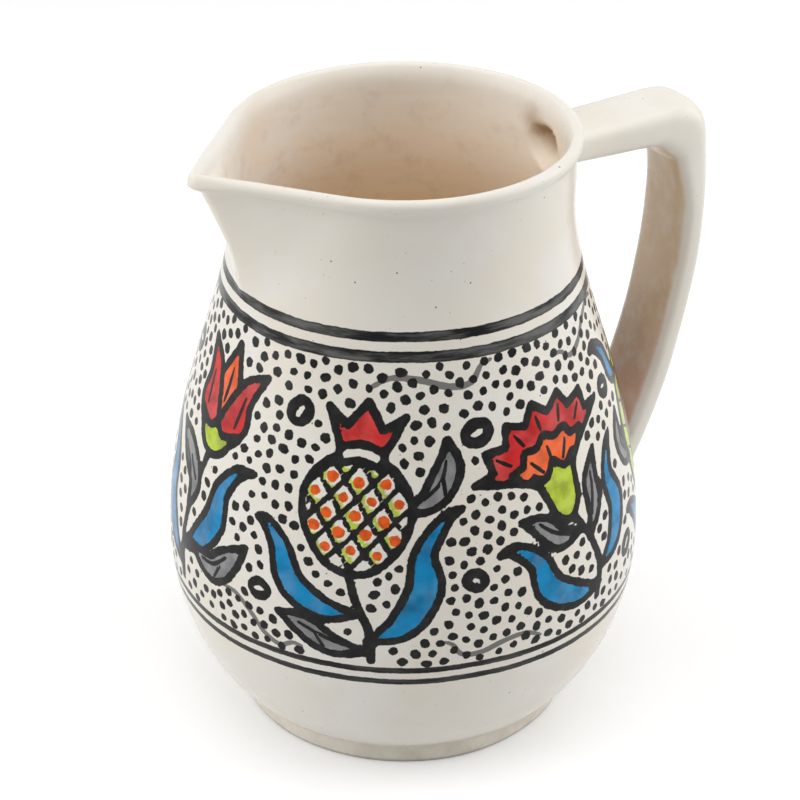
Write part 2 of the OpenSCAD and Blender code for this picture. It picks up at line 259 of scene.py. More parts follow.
class Wall:
    """The outline of the turned wall: radii and heights from the foot to the lip and back inside."""
    base_lean = math.radians(45)
    base_pull = 0.53
    belly_low_pull = 0.08
    belly_high_pull = 0.436
    neck_pull = 0.268
    floor_pull = 0.4
    belly_in_pull = 0.55
    ridge_power = 1.15
    nose = math.radians(14)
    hollow_off = 0.0022
    hollow_lift = 0.0005

    def __init__(self, s):
        self.s = s
        self.neck_r = s.neck_d / 2
        self.neck_z = s.rim_h - s.neck_drop
        self.lip_r = self.neck_r + s.lip_out
        self.neck_in_r = self.neck_r - s.neck_wall
        self.foot_in_r = s.foot_d / 2 - s.foot_w
        self.seat_z = s.rim_h - s.spout_h - s.spout_margin
        side_angle = math.acos((self.lip_r - s.spout_tip_r) / (self.lip_r + s.spout_out - s.spout_tip_r))
        self.seat_top_half = self.lip_r * math.sin(side_angle) + s.spout_margin
        self.seat_low_half = 0.3 * self.seat_top_half
        self.arm_z = s.rim_h - s.arm_drop
        belly_r, base_r = s.belly_d / 2, s.base_d / 2
        low, high = s.belly_z - s.foot_h, self.neck_z - s.belly_z
        t = np.linspace(0, 1, 400)
        pull = low * self.base_pull
        out_low = bezier(
            (base_r, s.foot_h),
            (base_r + pull * math.sin(self.base_lean), s.foot_h + pull * math.cos(self.base_lean)),
            (belly_r, s.belly_z - low * self.belly_low_pull), (belly_r, s.belly_z), t)

        def shoulder(belly_r, neck_r):
            """The curve from the belly up to the neck, without its first point."""
            return bezier(
                (belly_r, s.belly_z), (belly_r, s.belly_z + high * self.belly_high_pull),
                (neck_r, self.neck_z - high * self.neck_pull), (neck_r, self.neck_z), t)[1:]

        self.lip_start_z = s.rim_h - s.lip_h
        self.lip_top_z = s.rim_h - s.lip_t / 2
        top = [(self.neck_r, self.lip_start_z)]
        self.outer = np.concatenate([out_low, shoulder(belly_r, self.neck_r), top])
        belly_in_r = belly_r - s.belly_wall
        floor_z = s.recess_h + s.floor_t
        deep = s.belly_z - floor_z
        in_low = bezier(
            (s.floor_flat_d / 2, floor_z), (s.floor_flat_d / 2 + deep * self.floor_pull, floor_z),
            (belly_in_r, s.belly_z - deep * self.belly_in_pull), (belly_in_r, s.belly_z), t)
        self.inner_top_z = self.lip_start_z - s.lip_t / 2
        top = [(self.neck_in_r, self.inner_top_z)]
        self.inner = np.concatenate([in_low, shoulder(belly_in_r, self.neck_in_r), top])
        self.run = run_of(self.outer)

    def radius(self, z):
        """Outside radius of the plain wall at a height."""
        return np.interp(z, self.outer[:, 1], self.outer[:, 0])

    def along(self, z):
        """Way up the outside of the wall from the foot to a height."""
        return np.interp(z, self.outer[:, 1], self.run)

    def at(self, along):
        """Radius and height at a way up the outside."""
        return at_run(along, self.run, self.outer).T

    def places(self, angle, along):
        """Places on the outside at angles and ways up it."""
        r, z = self.at(along)
        return np.stack([r * np.cos(angle), r * np.sin(angle), z], 1)

    def unrolled(self, points):
        """Angles, distances from the axis and ways up the outside of points."""
        x, y, z = points.T
        return np.arctan2(y, x), np.hypot(x, y), self.along(z)

    def stretch(self, line, low, high, spacing):
        """Evenly spaced points of a line between two heights, from low to high."""
        r_low, r_high = (np.interp(z, line[:, 1], line[:, 0]) for z in (low, high))
        middle = line[(line[:, 1] > low + 1e-7) & (line[:, 1] < high - 1e-7)]
        return evenly(np.concatenate([[(r_low, low)], middle, [(r_high, high)]]), spacing)

    def rows(self):
        """Every level of the turned clay, as (radius, height, how far inside, lining)."""
        s = self.s
        top = self.lip_top_z
        halfway = (top + self.lip_start_z) / 2
        lip_x = self.lip_r - s.lip_t / 2
        edge = 0.0004
        under = [(r, s.recess_h) for r in (0, 0.012, 0.024, self.foot_in_r - edge)]
        under += [(self.foot_in_r, s.recess_h + edge), (self.foot_in_r, s.foot_h - edge),
                  (self.foot_in_r + edge, s.foot_h), (s.base_d / 2 - edge, s.foot_h)]
        paint_low, paint_high, hollow_low = 0.033, 0.1205, 0.130
        outside = [
            self.stretch(self.outer, s.foot_h, paint_low, 0.0020)[1:-1],
            self.stretch(self.outer, paint_low, self.seat_z, 0.0009)[:-1],
            self.stretch(self.outer, self.seat_z, paint_high, 0.0009)[:-1],
            self.stretch(self.outer, paint_high, self.lip_start_z, 0.0021)[:-1],
            bezier((self.neck_r, self.lip_start_z), (self.neck_r, halfway), (self.lip_r, halfway),
                   (self.lip_r, top), np.linspace(0, 1, 9))]
        roll = arc((lip_x, top), s.lip_t / 2, 0, 145, 11)[1:]
        throat = bezier(
            roll[-1], roll[-1] + (-0.0010, -0.00143), (self.neck_in_r, self.inner_top_z + 0.0030),
            (self.neck_in_r, self.inner_top_z), np.linspace(0, 1, 9))[1:]
        inside = [
            self.stretch(self.inner, hollow_low, self.inner_top_z, 0.0007)[::-1][1:],
            self.stretch(self.inner, self.seat_z, hollow_low, 0.0030)[::-1][1:],
            self.stretch(self.inner, s.recess_h + s.floor_t, self.seat_z, 0.0034)[::-1][1:]]
        floor = [(r, s.recess_h + s.floor_t) for r in (0.019, 0.009, 0)]
        rows = [(r, z, 0, 0) for r, z in under]
        rows += [(r, z, 0, 0) for part in outside for r, z in part]
        for k, (r, z) in enumerate(roll):
            turn = (k + 1) / len(roll)
            rows.append((r, z, turn, smooth(2.2 * turn - 1.2)))
        rows += [(r, z, 1, 1) for part in (throat, *inside, floor) for r, z in part]
        return rows

    def ridge(self, z):
        """How far the beak stands out from the round neck at a height."""
        s = self.s
        return s.spout_out * max(0.0, (z - s.rim_h + s.spout_h) / s.spout_h) ** self.ridge_power

    def beak(self, r, z, inside, angle):
        """Distance from the axis to a wall of radius r at an angle from the beak's ridge."""
        s = self.s
        tip = s.spout_tip_r + (s.spout_channel_r - s.spout_tip_r) * inside
        centre = r + self.ridge(z) * (1 - inside * s.spout_tip_t / s.spout_out) - tip
        side = math.acos(min(1.0, (r - tip) / centre))
        tip_angle = math.atan2(tip * math.sin(side), centre + tip * math.cos(side))
        a = abs(angle)
        if a >= side:
            return r
        if a > tip_angle:
            return r / math.cos(side - a)
        return centre * math.cos(a) + math.sqrt(max(0.0, tip ** 2 - (centre * math.sin(a)) ** 2))

    def tip_drop(self, z, angle):
        """How far the lip's roll is drawn down near the tip, so that the tip is a blunt nose."""
        if z > self.lip_top_z:
            depth = (self.s.rim_h - z) / (self.s.rim_h - self.lip_top_z)
        else:
            depth = max(0.0, (z - self.lip_start_z) / (self.lip_top_z - self.lip_start_z))
        return self.s.spout_tip_drop * depth * smooth(1 - abs(angle) / self.nose)

    def hollow(self, y, z):
        """Depth of the hollow pressed into the neck's inside behind the arm."""
        s = self.s
        across = 2 * (y + self.hollow_off) / s.hollow_w
        up = (z - self.arm_z - self.hollow_lift) / s.hollow_h
        up *= 2.0 if up > 0 else 1.5
        steep = max(0.5, 0.8 + 0.9 * clamp(across, -1.0)) + 0.5 * max(0.0, -up)
        return (s.neck_wall + s.hollow_in_t) * max(0.0, 1 - across ** 2 - up ** 2) ** steep

    def bulge(self, y, z):
        """How far the neck's outside gives way to the hollow, under the arm."""
        return max(0.0, self.hollow(y, z) - self.s.neck_wall + 0.0005)


def place_object(name, data):
    """An object of the scene that holds the data."""
    thing = bpy.data.objects.new(name, data)
    bpy.context.scene.collection.objects.link(thing)
    return thing


def make_mesh(name, bm, material):
    """An object made of a bmesh."""
    mesh = bpy.data.meshes.new(name)
    bm.to_mesh(mesh)
    bm.free()
    mesh.shade_smooth()
    mesh.materials.append(material)
    return place_object(name, mesh)


def finish_mesh(node, bm, material):
    """Makes a bmesh an object that stands for the CAD node of its name."""
    piece = make_mesh(node, bm, material)
    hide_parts(node)
    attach(piece, BODY)
    return piece


def spin_line(bm, verts, edges, columns):
    """Turns a line once round the jug's axis."""
    bmesh.ops.spin(
        bm, geom=verts + edges, cent=(0, 0, 0), axis=(0, 0, 1), angle=2 * math.pi, steps=columns,
        use_merge=True, use_duplicate=False)
    bmesh.ops.remove_doubles(bm, verts=bm.verts, dist=1e-6)
    bmesh.ops.recalc_face_normals(bm, faces=bm.faces)


def turn_wall(wall, columns):
    """The whole pot, spun from its outline, with the beak drawn out and the hollow pressed in."""
    bm = bmesh.new()
    inside_layer = bm.verts.layers.float.new("inside")
    lining_layer = bm.verts.layers.float.new("lining")
    normal_layer = bm.verts.layers.float_vector.new("wall_normal")
    line = []
    for r, z, inside, lining in wall.rows():
        vert = bm.verts.new((r, 0, z))
        vert[inside_layer] = inside
        vert[lining_layer] = lining
        line.append(vert)
    spin_line(bm, line, [bm.edges.new(pair) for pair in zip(line, line[1:])], columns)
    half, beak_from_z = math.radians(68), 0.100
    hollow_half, hollow_from_z, hollow_to_z = 0.012, 0.128, 0.146
    for vert in bm.verts:
        x, y, z = vert.co
        r = math.hypot(x, y)
        angle = math.atan2(y, -x)
        if z > beak_from_z and abs(angle) < half:
            gather = 1 + 0.6 * smooth((z - beak_from_z) / 0.025)
            angle = math.copysign(half * (abs(angle) / half) ** gather, angle)
            r = wall.beak(r, z, vert[inside_layer], angle)
            vert.co = (-r * math.cos(angle), r * math.sin(angle), z - wall.tip_drop(z, angle))
        elif x > 0 and abs(y) < hollow_half and hollow_from_z < z < hollow_to_z:
            push = wall.hollow(y, z) if vert[lining_layer] > 0.9 else wall.bulge(y, z)
            vert.co = at_radius(vert.co, r + push)
    bm.normal_update()
    for vert in bm.verts:
        vert[normal_layer] = vert.normal
    bm.verts.layers.float.remove(bm.verts.layers.float["inside"])
    return bm


def cut_seat(bm, wall):
    """Cuts the wall along the V that the beak's piece fills, and tells which faces lie inside it."""
    rise = wall.s.rim_h - wall.seat_z
    spread = wall.seat_top_half - wall.seat_low_half
    front_x = -0.015
    for way in (-1, 1):
        near = [f for f in bm.faces
                if all(v.co.x < front_x and v.co.z > wall.seat_z - 1e-6 for v in f.verts)]
        geom = list({e for f in near for e in f.edges}) + list({v for f in near for v in f.verts}) + near
        bmesh.ops.bisect_plane(
            bm, geom=geom, dist=1e-7, plane_co=(0, way * wall.seat_low_half, wall.seat_z),
            plane_no=(0, way * rise, -spread))

    def within(face):
        """Whether a face lies inside the V."""
        centre = face.calc_center_median()
        half = wall.seat_low_half + spread * (centre.z - wall.seat_z) / rise
        return centre.x < front_x and centre.z > wall.seat_z and abs(centre.y) < half
    return within


def close_seat(bm, wall):
    """Closes the three flat faces where the beak's piece meets the neck."""
    cut_layer = bm.faces.layers.int.new("cut")
    rim = [e for e in bm.edges if len(e.link_faces) == 1]
    verts = {v for e in rim for v in e.verts}
    corners = []
    for way in (-1, 1):
        found = [v for v in verts
                 if abs(v.co.z - wall.seat_z) < 1e-5 and abs(v.co.y - way * wall.seat_low_half) < 1e-5]
        corners.append(bm.edges.new(sorted(found, key=lambda v: v.co.x)[:2]))
    low = [e for e in rim if all(v.co.z < wall.seat_z + 1e-5 for v in e.verts)]
    rest = [e for e in rim if e not in low]
    sides = [[e for e in rest if way * (e.verts[0].co.y + e.verts[1].co.y) > 0] + [corner]
             for way, corner in zip((-1, 1), corners)]
    for loop in (low + corners, *sides):
        made = bmesh.ops.edgeloop_fill(bm, edges=loop)["faces"]
        for face in bmesh.ops.triangulate(bm, faces=made)["faces"]:
            face[cut_layer] = 1
    bmesh.ops.recalc_face_normals(bm, faces=bm.faces)


def keep_wall_normals(mesh):
    """Shades the cut pieces as the whole wall, so that no seam shows, and keeps the cut faces flat."""
    corner = values_of(mesh.loops, "vertex_index", 1, int)
    normals = values_of(mesh.attributes["wall_normal"].data, "vector", 3)[corner]
    total = values_of(mesh.polygons, "loop_total", 1, int)
    cut = np.repeat(values_of(mesh.attributes["cut"].data, "value", 1, int) == 1, total)
    normals[cut] = np.repeat(values_of(mesh.polygons, "normal", 3), total, axis=0)[cut]
    mesh.normals_split_custom_set(normals.tolist())
    for name in ("wall_normal", "cut"):
        mesh.attributes.remove(mesh.attributes[name])


class Mark:
    """One thing that the brush leaves, in millimetres on its motif."""

    def __init__(self, kind, points, colour=None, strength=1.0, closed=False, tone=0.0, clipped=False):
        self.kind, self.colour, self.strength = kind, colour, strength
        self.closed, self.tone, self.clipped = closed, tone, clipped
        self.line = points[:, :2]
        self.widths = points[:, 2] if points.shape[1] > 2 else None

    def near(self, points, margin):
        """Which points lie in the mark's own box, made larger by a margin."""
        return ((points > self.line.min(0) - margin) & (points < self.line.max(0) + margin)).all(1)


def smooth_line(points, closed=False):
    """A smooth line through points. A point given twice makes a corner."""
    p = np.array(points, float)
    n, steps = len(p), 6
    t = (np.arange(steps) / steps)[:, None]
    out = []
    for i in range(n if closed else n - 1):
        if closed:
            a, b, c, d = p[i - 1], p[i], p[(i + 1) % n], p[(i + 2) % n]
        else:
            a, b, c, d = p[max(i - 1, 0)], p[i], p[i + 1], p[min(i + 2, n - 1)]
        if np.allclose(b, c):
            continue
        out.append(0.5 * (
            2 * b + (c - a) * t + (2 * a - 5 * b + 4 * c - d) * t ** 2 + (3 * b - a - 3 * c + d) * t ** 3))
    if not closed:
        out.append(p[-1:])
    return np.concatenate(out)


def blade(points, low=-1.0, high=1.0):
    """The outline of a leaf from its (x, y, width) points, between two shares of its half width."""
    line = smooth_line(points)
    way = np.gradient(line[:, :2], axis=0)
    way /= np.linalg.norm(way, axis=1)[:, None]
    side = left_of(way.T).T * np.maximum(line[:, 2:3], 0) / 2
    return np.concatenate([line[:, :2] + high * side, (line[:, :2] + low * side)[::-1]])


def petal(colour, *points):
    """A filled form with a brushed outline."""
    return Mark('form', smooth_line(points, True), colour, closed=True)


def leaf(colour, *points):
    """A filled leaf with a brushed outline, from (x, y, width) points."""
    return Mark('form', blade(points), colour, closed=True)


def wash(colour, strength, *points):
    """Colour without an outline."""
    return Mark('wash', smooth_line(points, True), colour, strength, closed=True)


def stroke(*points, clipped=False):
    """A thick line from (x, y, width) points."""
    return Mark('stroke', smooth_line(points), clipped=clipped)


def hair(*points, tone=0.0):
    """A thin line from (x, y, width) points. Its tone goes from black at 0 to pale grey at 1."""
    return Mark('hair', smooth_line(points), tone=tone)


def spot(x, y, r=1.3):
    """A round spot of orange."""
    return Mark('spot', np.array([(x, y, 2 * r)]))


def even(*half):
    """An outline's points up one side and down the other."""
    return [*half, *[(-x, y) for x, y in reversed(half) if x]]


def moved(marks, dx, dy, turn=0.0):
    """The marks, turned by degrees and moved."""
    c, s = math.cos(math.radians(turn)), math.sin(math.radians(turn))
    for mark in marks:
        mark.line = mark.line @ np.array([[c, s], [-s, c]]) + (dx, dy)
    return marks


def tulip():
    """A tulip on a bent stem, with two long leaves and two small ones."""
    left = [(0, 0), (-6.5, 2), (-10.3, 8), (-9.6, 14.5), (-12, 23), (-12, 23), (-6, 19.5), (-2.6, 13),
            (0, 5)]
    flower = [
        petal('orange', *even((0, 2.5), (-4.6, 8), (-5, 14), (-2.6, 20.5), (0, 26.5), (0, 26.5))),
        hair((0, 11, 0.9), (0.2, 15, 1.2), (0, 20, 0.7)),
        petal('red', *left),
        petal('red', *[(-x, y) for x, y in reversed(left)]),
        hair((-6.6, 7, 0.8), (-7, 11, 1.1), (-7.4, 15.5, 0.7)),
        hair((6.6, 7, 0.8), (7, 11, 1.1), (7.4, 15.5, 0.7)),
        petal('lime', *even((0, -3), (-4.8, -0.8), (-8, 5.4), (-8, 5.4), (-3, 3.2), (0, 6), (0, 6)))]
    return [
        stroke((-8, -34, 2.4), (-7, -24, 2.4), (-3, -13, 2.2), (2, -3, 2.2), (5, 5, 2.2)),
        leaf('grey', (-4, -14, 0), (-1, -6, 5.5), (-6, 1, 6.5), (-13, 6, 0)),
        hair((-3.4, -8, 1.1), (-4.5, -3, 1.2), (-8.5, 1.5, 0.8)),
        hair((-0.6, -5.5, 1), (-4, -0.8, 1)),
        leaf('blue', (-8, -31, 0), (-14.5, -24, 6.5), (-18, -14, 8.2), (-16, -5, 5.2), (-20, 4, 2.8),
             (-23, 8, 0)),
        leaf('blue', (-7, -25, 0), (2, -20.5, 6), (9, -13.5, 7.5), (11.5, -5, 5), (17, 1, 2.6), (22, 2, 0)),
        leaf('grey', (-2, -22, 0), (8, -26, 6.5), (15, -22, 6), (21, -17, 0)),
        hair((4, -24.5, 1), (9, -24.6, 1.2), (14, -21.5, 0.9)),
        hair((9, -28, 1), (11.5, -24.5, 1)),
        ] + moved(flower, 5.5, 6, -12)


def pomegranate():
    """A pomegranate with a net of cells, a crown, two long leaves and two small ones."""
    wide, tall = 6.6, 8.6
    cells = [(wide * (i + 0.5 * (j % 2)), tall * j / 2 - 1) for j in range(-4, 5) for i in range(-3, 3)]
    fruit = [petal('white', *even((0, -15.5), (-7, -13), (-12.4, -5), (-13, 3), (-9.4, 9.8), (-4.5, 12.8)))]
    for x, y in cells:
        if (x / 12) ** 2 + (y / 13.5) ** 2 < 1:
            fruit.append(wash('lime', 0.95, (x - 3, y - 0.2), (x - 0.2, y - 3.8), (x + 2.2, y - 1.6),
                              (x + 0.2, y - 1.5), (x - 1.1, y + 0.8), (x - 1.3, y + 2.2)))
    for k in range(-4, 4):
        for way in (-1, 1):
            rise = tall / wide * way
            middle = tall * (k + 0.5) - 1
            fruit.append(stroke(
                *[(x, rise * x + middle + 0.5 * math.sin(x * 0.5 + k), 1.35) for x in (-15, -7, 0, 7, 15)],
                clipped=True))
    for n, (x, y) in enumerate(cells):
        if (x / 11) ** 2 + (y / 12.6) ** 2 < 1 and y < 9:
            r = 1.35 + 0.15 * math.sin(7 * n)
            fruit.append(spot(x + 0.3 * math.sin(5 * n), y + 0.3 * math.cos(3 * n), r))
    fruit.append(petal('red', *even(
        (0, 16.8), (-5.2, 15), (-5.2, 15), (-9, 24), (-9, 24), (-4.2, 20.5), (-4.2, 20.5), (0, 27),
        (0, 27))))
    fruit.append(petal('white', *even(
        (0, 12.6), (-5.8, 11), (-5.8, 11), (-5.2, 15.2), (-5.2, 15.2), (0, 16.6))))
    return [
        stroke((10, -35, 2.4), (8, -27, 2.4), (3, -19, 2.2), (0, -12, 2.2)),
        leaf('blue', (8, -30, 0), (15.5, -24, 6.5), (19, -14, 8), (17, -5, 5), (20, 4, 2.6), (23.5, 7, 0)),
        leaf('blue', (5, -23, 0), (-4, -24.5, 5.5), (-13, -21, 7), (-17.5, -13, 5), (-22, -9, 2.6),
             (-25, -9, 0)),
        leaf('grey', (9, -33, 0), (0, -33.5, 5), (-8, -31, 5.5), (-15, -30, 0)),
        hair((3, -32.5, 1), (-3, -31.8, 1.2), (-9, -30.6, 0.8)),
        hair((-2, -34.6, 1), (-4.6, -31.8, 1)),
        leaf('grey', (10, 4, 0), (16, 9, 5.5), (18, 16, 6), (16, 23, 0)),
        hair((14, 8.5, 1), (17, 13, 1.2), (17, 18, 0.8)),
        hair((18.8, 10, 1), (17.2, 14, 1)),
        ] + moved(fruit, -1, 2, 6)


def carnation():
    """A carnation seen from the side, with a toothed rim, two long leaves and two small ones."""
    def ring(angle, r):
        """A place on the flower's fan, with its angle in degrees from upright."""
        return r * math.sin(math.radians(angle)), 0.92 * r * math.cos(math.radians(angle))
    teeth = []
    for k in range(13):
        point = ring(-62 + 124 * k / 12, 20.5 if k % 2 else 24.5)
        teeth += [point, point]
    waves = [ring(-52 + 13 * k, 13.4 if k % 2 else 15.2) for k in range(9)]
    flower = [petal('red', (-5.5, 3), (-12, 7), *teeth, (12, 7), (5.5, 3), (0, 1))]
    flower += [hair((*ring(a, 16.8), 0.9), (*ring(a, 19), 1.1), (*ring(a, 21), 0.6))
               for a in range(-42, 43, 21)]
    flower += [petal('orange', (-5, 2), *waves, (5, 2), (0, 0))]
    flower += [hair((*ring(a, 7), 0.9), (*ring(a, 9.5), 1.1), (*ring(a, 11.8), 0.7)) for a in (-30, 0, 30)]
    flower += [petal('lime', *even(
        (0, -10), (-3.8, -7), (-5.2, -1), (-6.6, 5.6), (-6.6, 5.6), (-3.2, 3.6), (0, 7.2), (0, 7.2)))]
    return [
        stroke((-3, -35, 2.4), (-6, -26, 2.4), (-4, -15, 2.2), (0, -6, 2.2)),
        leaf('blue', (-5, -32, 0), (4, -29, 6), (11.5, -22, 7.5), (13, -13, 5), (18, -7, 2.6),
             (22, -6.5, 0)),
        leaf('blue', (-6, -28, 0), (-14, -25, 6), (-18.5, -17, 7.2), (-17, -8, 4.6), (-20, -1.5, 2.6),
             (-23, 1, 0)),
        leaf('grey', (-5, -17, 0), (-9, -10, 5), (-10, -3, 5), (-14, 3, 0)),
        hair((-7.2, -12, 1), (-9.6, -6, 1.2), (-10.6, -1.5, 0.8)),
        leaf('grey', (-2, -13, 0), (5, -11, 5), (9, -5, 5), (14, -1, 0)),
        hair((2, -11.6, 1), (6.5, -8, 1.2), (9.5, -4, 0.8)),
        ] + moved(flower, 0, 2)


def long_leaf():
    """A large bent leaf striped orange and lime round a white rib, with three red berries."""
    spine = [(-4, -30, 0), (3, -22, 9), (8, -10, 13.5), (8, 4, 12.5), (1, 16, 8), (-8, 22, 3.4),
             (-15, 21, 0)]
    rib = [(-1.5, -26, 0), (3.4, -20, 1.6), (7.6, -9.6, 2.4), (7.4, 3.4, 2), (1.6, 13.8, 1.2),
           (-3, 18, 0)]
    berries = [(-20, -9), (-13.5, -3), (-21, 1.5)]
    marks = [stroke((-7, -35, 2.4), (-6, -31, 2.4), (-4, -27, 2.2))]
    marks += [stroke((-5, -29, 1.6), (-13, -20, 1.5), (-16, -10, 1.4), (x, y, 1.4)) for x, y in berries]
    round_r, turns = 3.5, (0, 1, 2.1, 3.1, 4.2, 5.2)
    marks += [petal('red', *[(x + round_r * math.cos(a), y + round_r * math.sin(a)) for a in turns])
              for x, y in berries]
    marks += [Mark('form', blade(spine), 'lime', closed=True)]
    marks += [Mark('wash', blade(spine, 0.0, 1.0), 'orange', closed=True)]
    marks += [leaf('white', *rib)]
    marks += [hair((x, y, 1), (x + 3, y + 2.4, 0.7))
              for x, y in ((8.6, -13), (10, -6), (10, 1.2), (7.2, 7.5))]
    marks += [
        leaf('blue', (-4, -29, 0), (5, -31.5, 5.5), (13, -28, 7), (18.5, -20, 5), (23, -15, 2.4),
             (26, -14, 0)),
        leaf('blue', (4, 15, 0), (9, 19, 5), (10, 26, 4), (14, 31, 2), (17, 31.5, 0)),
        leaf('grey', (-13, -19, 0), (-18, -21.5, 5), (-24, -20, 4.5), (-28, -15, 0)),
        hair((-16.4, -20.6, 0.9), (-21, -20.6, 1.1), (-24.5, -18, 0.7)),
        leaf('grey', (14, -5, 0), (18.5, -1, 5), (19.5, 6, 5), (16, 12, 0)),
        hair((16.8, -1.6, 0.9), (18.8, 3, 1.1), (17.8, 7.4, 0.7))]
    return marks


def seed():
    """A small black oval with a white slit."""
    turn = np.linspace(0, 6.28, 13)
    return [stroke(*zip(3.0 * np.cos(turn), 2.1 * np.sin(turn), 2.6 - 0.4 * np.cos(2 * turn)))]


def tendril():
    """A loose grey wave of a nearly dry brush."""
    return [hair((-14, 1, 0.9), (-9, 2.6, 1.4), (-3, 1.2, 1.6), (3, -1.6, 1.6), (8, -2, 1.5), (11, 1, 1.2),
                 (13.5, 1.6, 0.9), tone=0.8)]


# Each motif with its angle and lean in degrees, its height above the field's middle, its scale and its hand
LAYOUT = [
    (pomegranate, 230, -10, 0, 0.96, 1),
    (carnation, 284, 12, 0, 0.94, -1),
    (tulip, 178, 8, 0, 0.96, 1),
    (long_leaf, 334, 10, -1, 0.94, -1),
    (tulip, 26, 8, 0.5, 0.95, -1),
    (pomegranate, 77, 12, 1, 0.94, -1),
    (long_leaf, 127, -4, 0, 0.96, 1),
    (seed, 261, 20, 19.5, 1.0, 1),
    (seed, 258, -30, -15, 0.85, 1),
    (seed, 212, 60, 23, 0.95, 1),
    (seed, 205.5, 10, -22, 0.85, 1),
    (seed, 310, 40, -26, 0.9, 1),
    (seed, 311, -20, 15.5, 0.85, 1),
    (seed, 156, 0, 22, 1.0, 1),
    (seed, 102, 30, 20, 1.0, 1),
    (seed, 51, -20, -24, 0.9, 1),
    (seed, 355, 30, 27, 0.85, 1),
    (tendril, 250, 8, 32, 1.0, 1),
    (tendril, 205, -20, -31, 0.9, 1),
    (tendril, 306, 12, 32, 0.9, -1),
    (tendril, 262, -8, -33, 0.9, -1),
    (tendril, 152, 10, -32, 1.0, 1),
    (tendril, 100, -6, 32, 1.0, 1),
    (tendril, 52, 6, 31, 0.9, -1),
    (tendril, 0, 4, -31, 1.0, 1),
]


def inside(outline, points):
    """Which points lie inside a closed outline."""
    x, y = points.T
    found = np.zeros(len(points), bool)
    for (x1, y1), (x2, y2) in zip(outline, np.roll(outline, -1, 0)):
        if y1 != y2:
            found ^= ((y1 > y) != (y2 > y)) & (x < (x2 - x1) * (y - y1) / (y2 - y1) + x1)
    return found


def line_gap(line, widths, closed, points):
    """Distance from points to the edge of a brushed line, negative inside it."""
    gap = np.full(len(points), FAR)
    ends = np.roll(np.arange(len(line)), -1) if closed else np.arange(1, len(line))
    for i, k in enumerate(ends):
        span = line[k] - line[i]
        if span @ span < 1e-9:
            continue
        rel = points - line[i]
        t = np.clip(rel @ span / (span @ span), 0, 1)
        half = (widths[i] + (widths[k] - widths[i]) * t) / 2
        np.minimum(gap, np.hypot(*(rel - t[:, None] * span).T) - half, out=gap)
    return gap


class Painting:
    """The painted field, asked for places on the wall given by angle, radius and way up the wall."""

    def __init__(self, wall, look):
        self.wall = wall
        self.look = look
        upper = look.upper_edge_z - look.upper_line_w - look.upper_gap - look.upper_second_w
        lower = look.lower_edge_z + 2 * look.lower_line_w + look.lower_gap
        self.low, self.high = wall.along(lower), wall.along(upper)
        self.outline = look.outline_w / MM
        self.placed = [(make(), math.radians(angle), math.radians(lean), height, scale, hand)
                       for make, angle, lean, height, scale, hand in LAYOUT]

    def on_motif(self, place, angle, radius, along):
        """Places in a motif's own millimetres."""
        _, at, lean, height, scale, hand = place
        turn = (angle - at + math.pi) % (2 * math.pi) - math.pi
        x = turn * radius / MM
        y = (along - (self.low + self.high) / 2) / MM - height
        c, s = math.cos(lean), math.sin(lean)
        return np.stack([hand * (c * x + s * y), c * y - s * x], 1) / scale

    def read(self, angle, radius, along):
        """Ink gap, colour, strength of colour and whether a form lies there, for each place."""
        n = len(angle)
        gap = np.full(n, FAR)
        colour = np.ones((n, 3))
        strength = np.zeros(n)
        taken = np.zeros(n, bool)
        motif_half, mark_margin, field_margin = 44, 5, 0.002
        for place in self.placed:
            marks, scale = place[0], place[4]
            local = self.on_motif(place, angle, radius, along)
            near = np.nonzero((np.abs(local) < motif_half).all(1))[0]
            local = local[near]
            form = np.zeros(len(near), bool)
            for mark in marks:
                some = np.nonzero(mark.near(local, mark_margin))[0]
                points, there = local[some], near[some]
                if mark.kind in ('form', 'wash'):
                    within = inside(mark.line, points)
                    if mark.kind == 'form':
                        gap[there[within]] = FAR
                        taken[there[within]] = True
                        form[:] = False
                        form[some[within]] = True
                    if mark.colour == 'white':
                        strength[there[within]] = 0
                    else:
                        colour[there[within]] = getattr(self.look, mark.colour)
                        strength[there[within]] = mark.strength
                if mark.kind in ('form', 'stroke'):
                    widths = mark.widths
                    if mark.kind == 'form':
                        widths = np.full(len(mark.line), self.outline / scale)
                    fresh = line_gap(mark.line, widths, mark.closed, points) * scale
                    if mark.clipped:
                        fresh[~form[some]] = FAR
                    gap[there] = np.minimum(gap[there], fresh)
        outside = (along < self.low - field_margin) | (along > self.high + field_margin)
        gap[outside] = FAR
        strength[outside] = 0
        return gap, colour, strength, taken


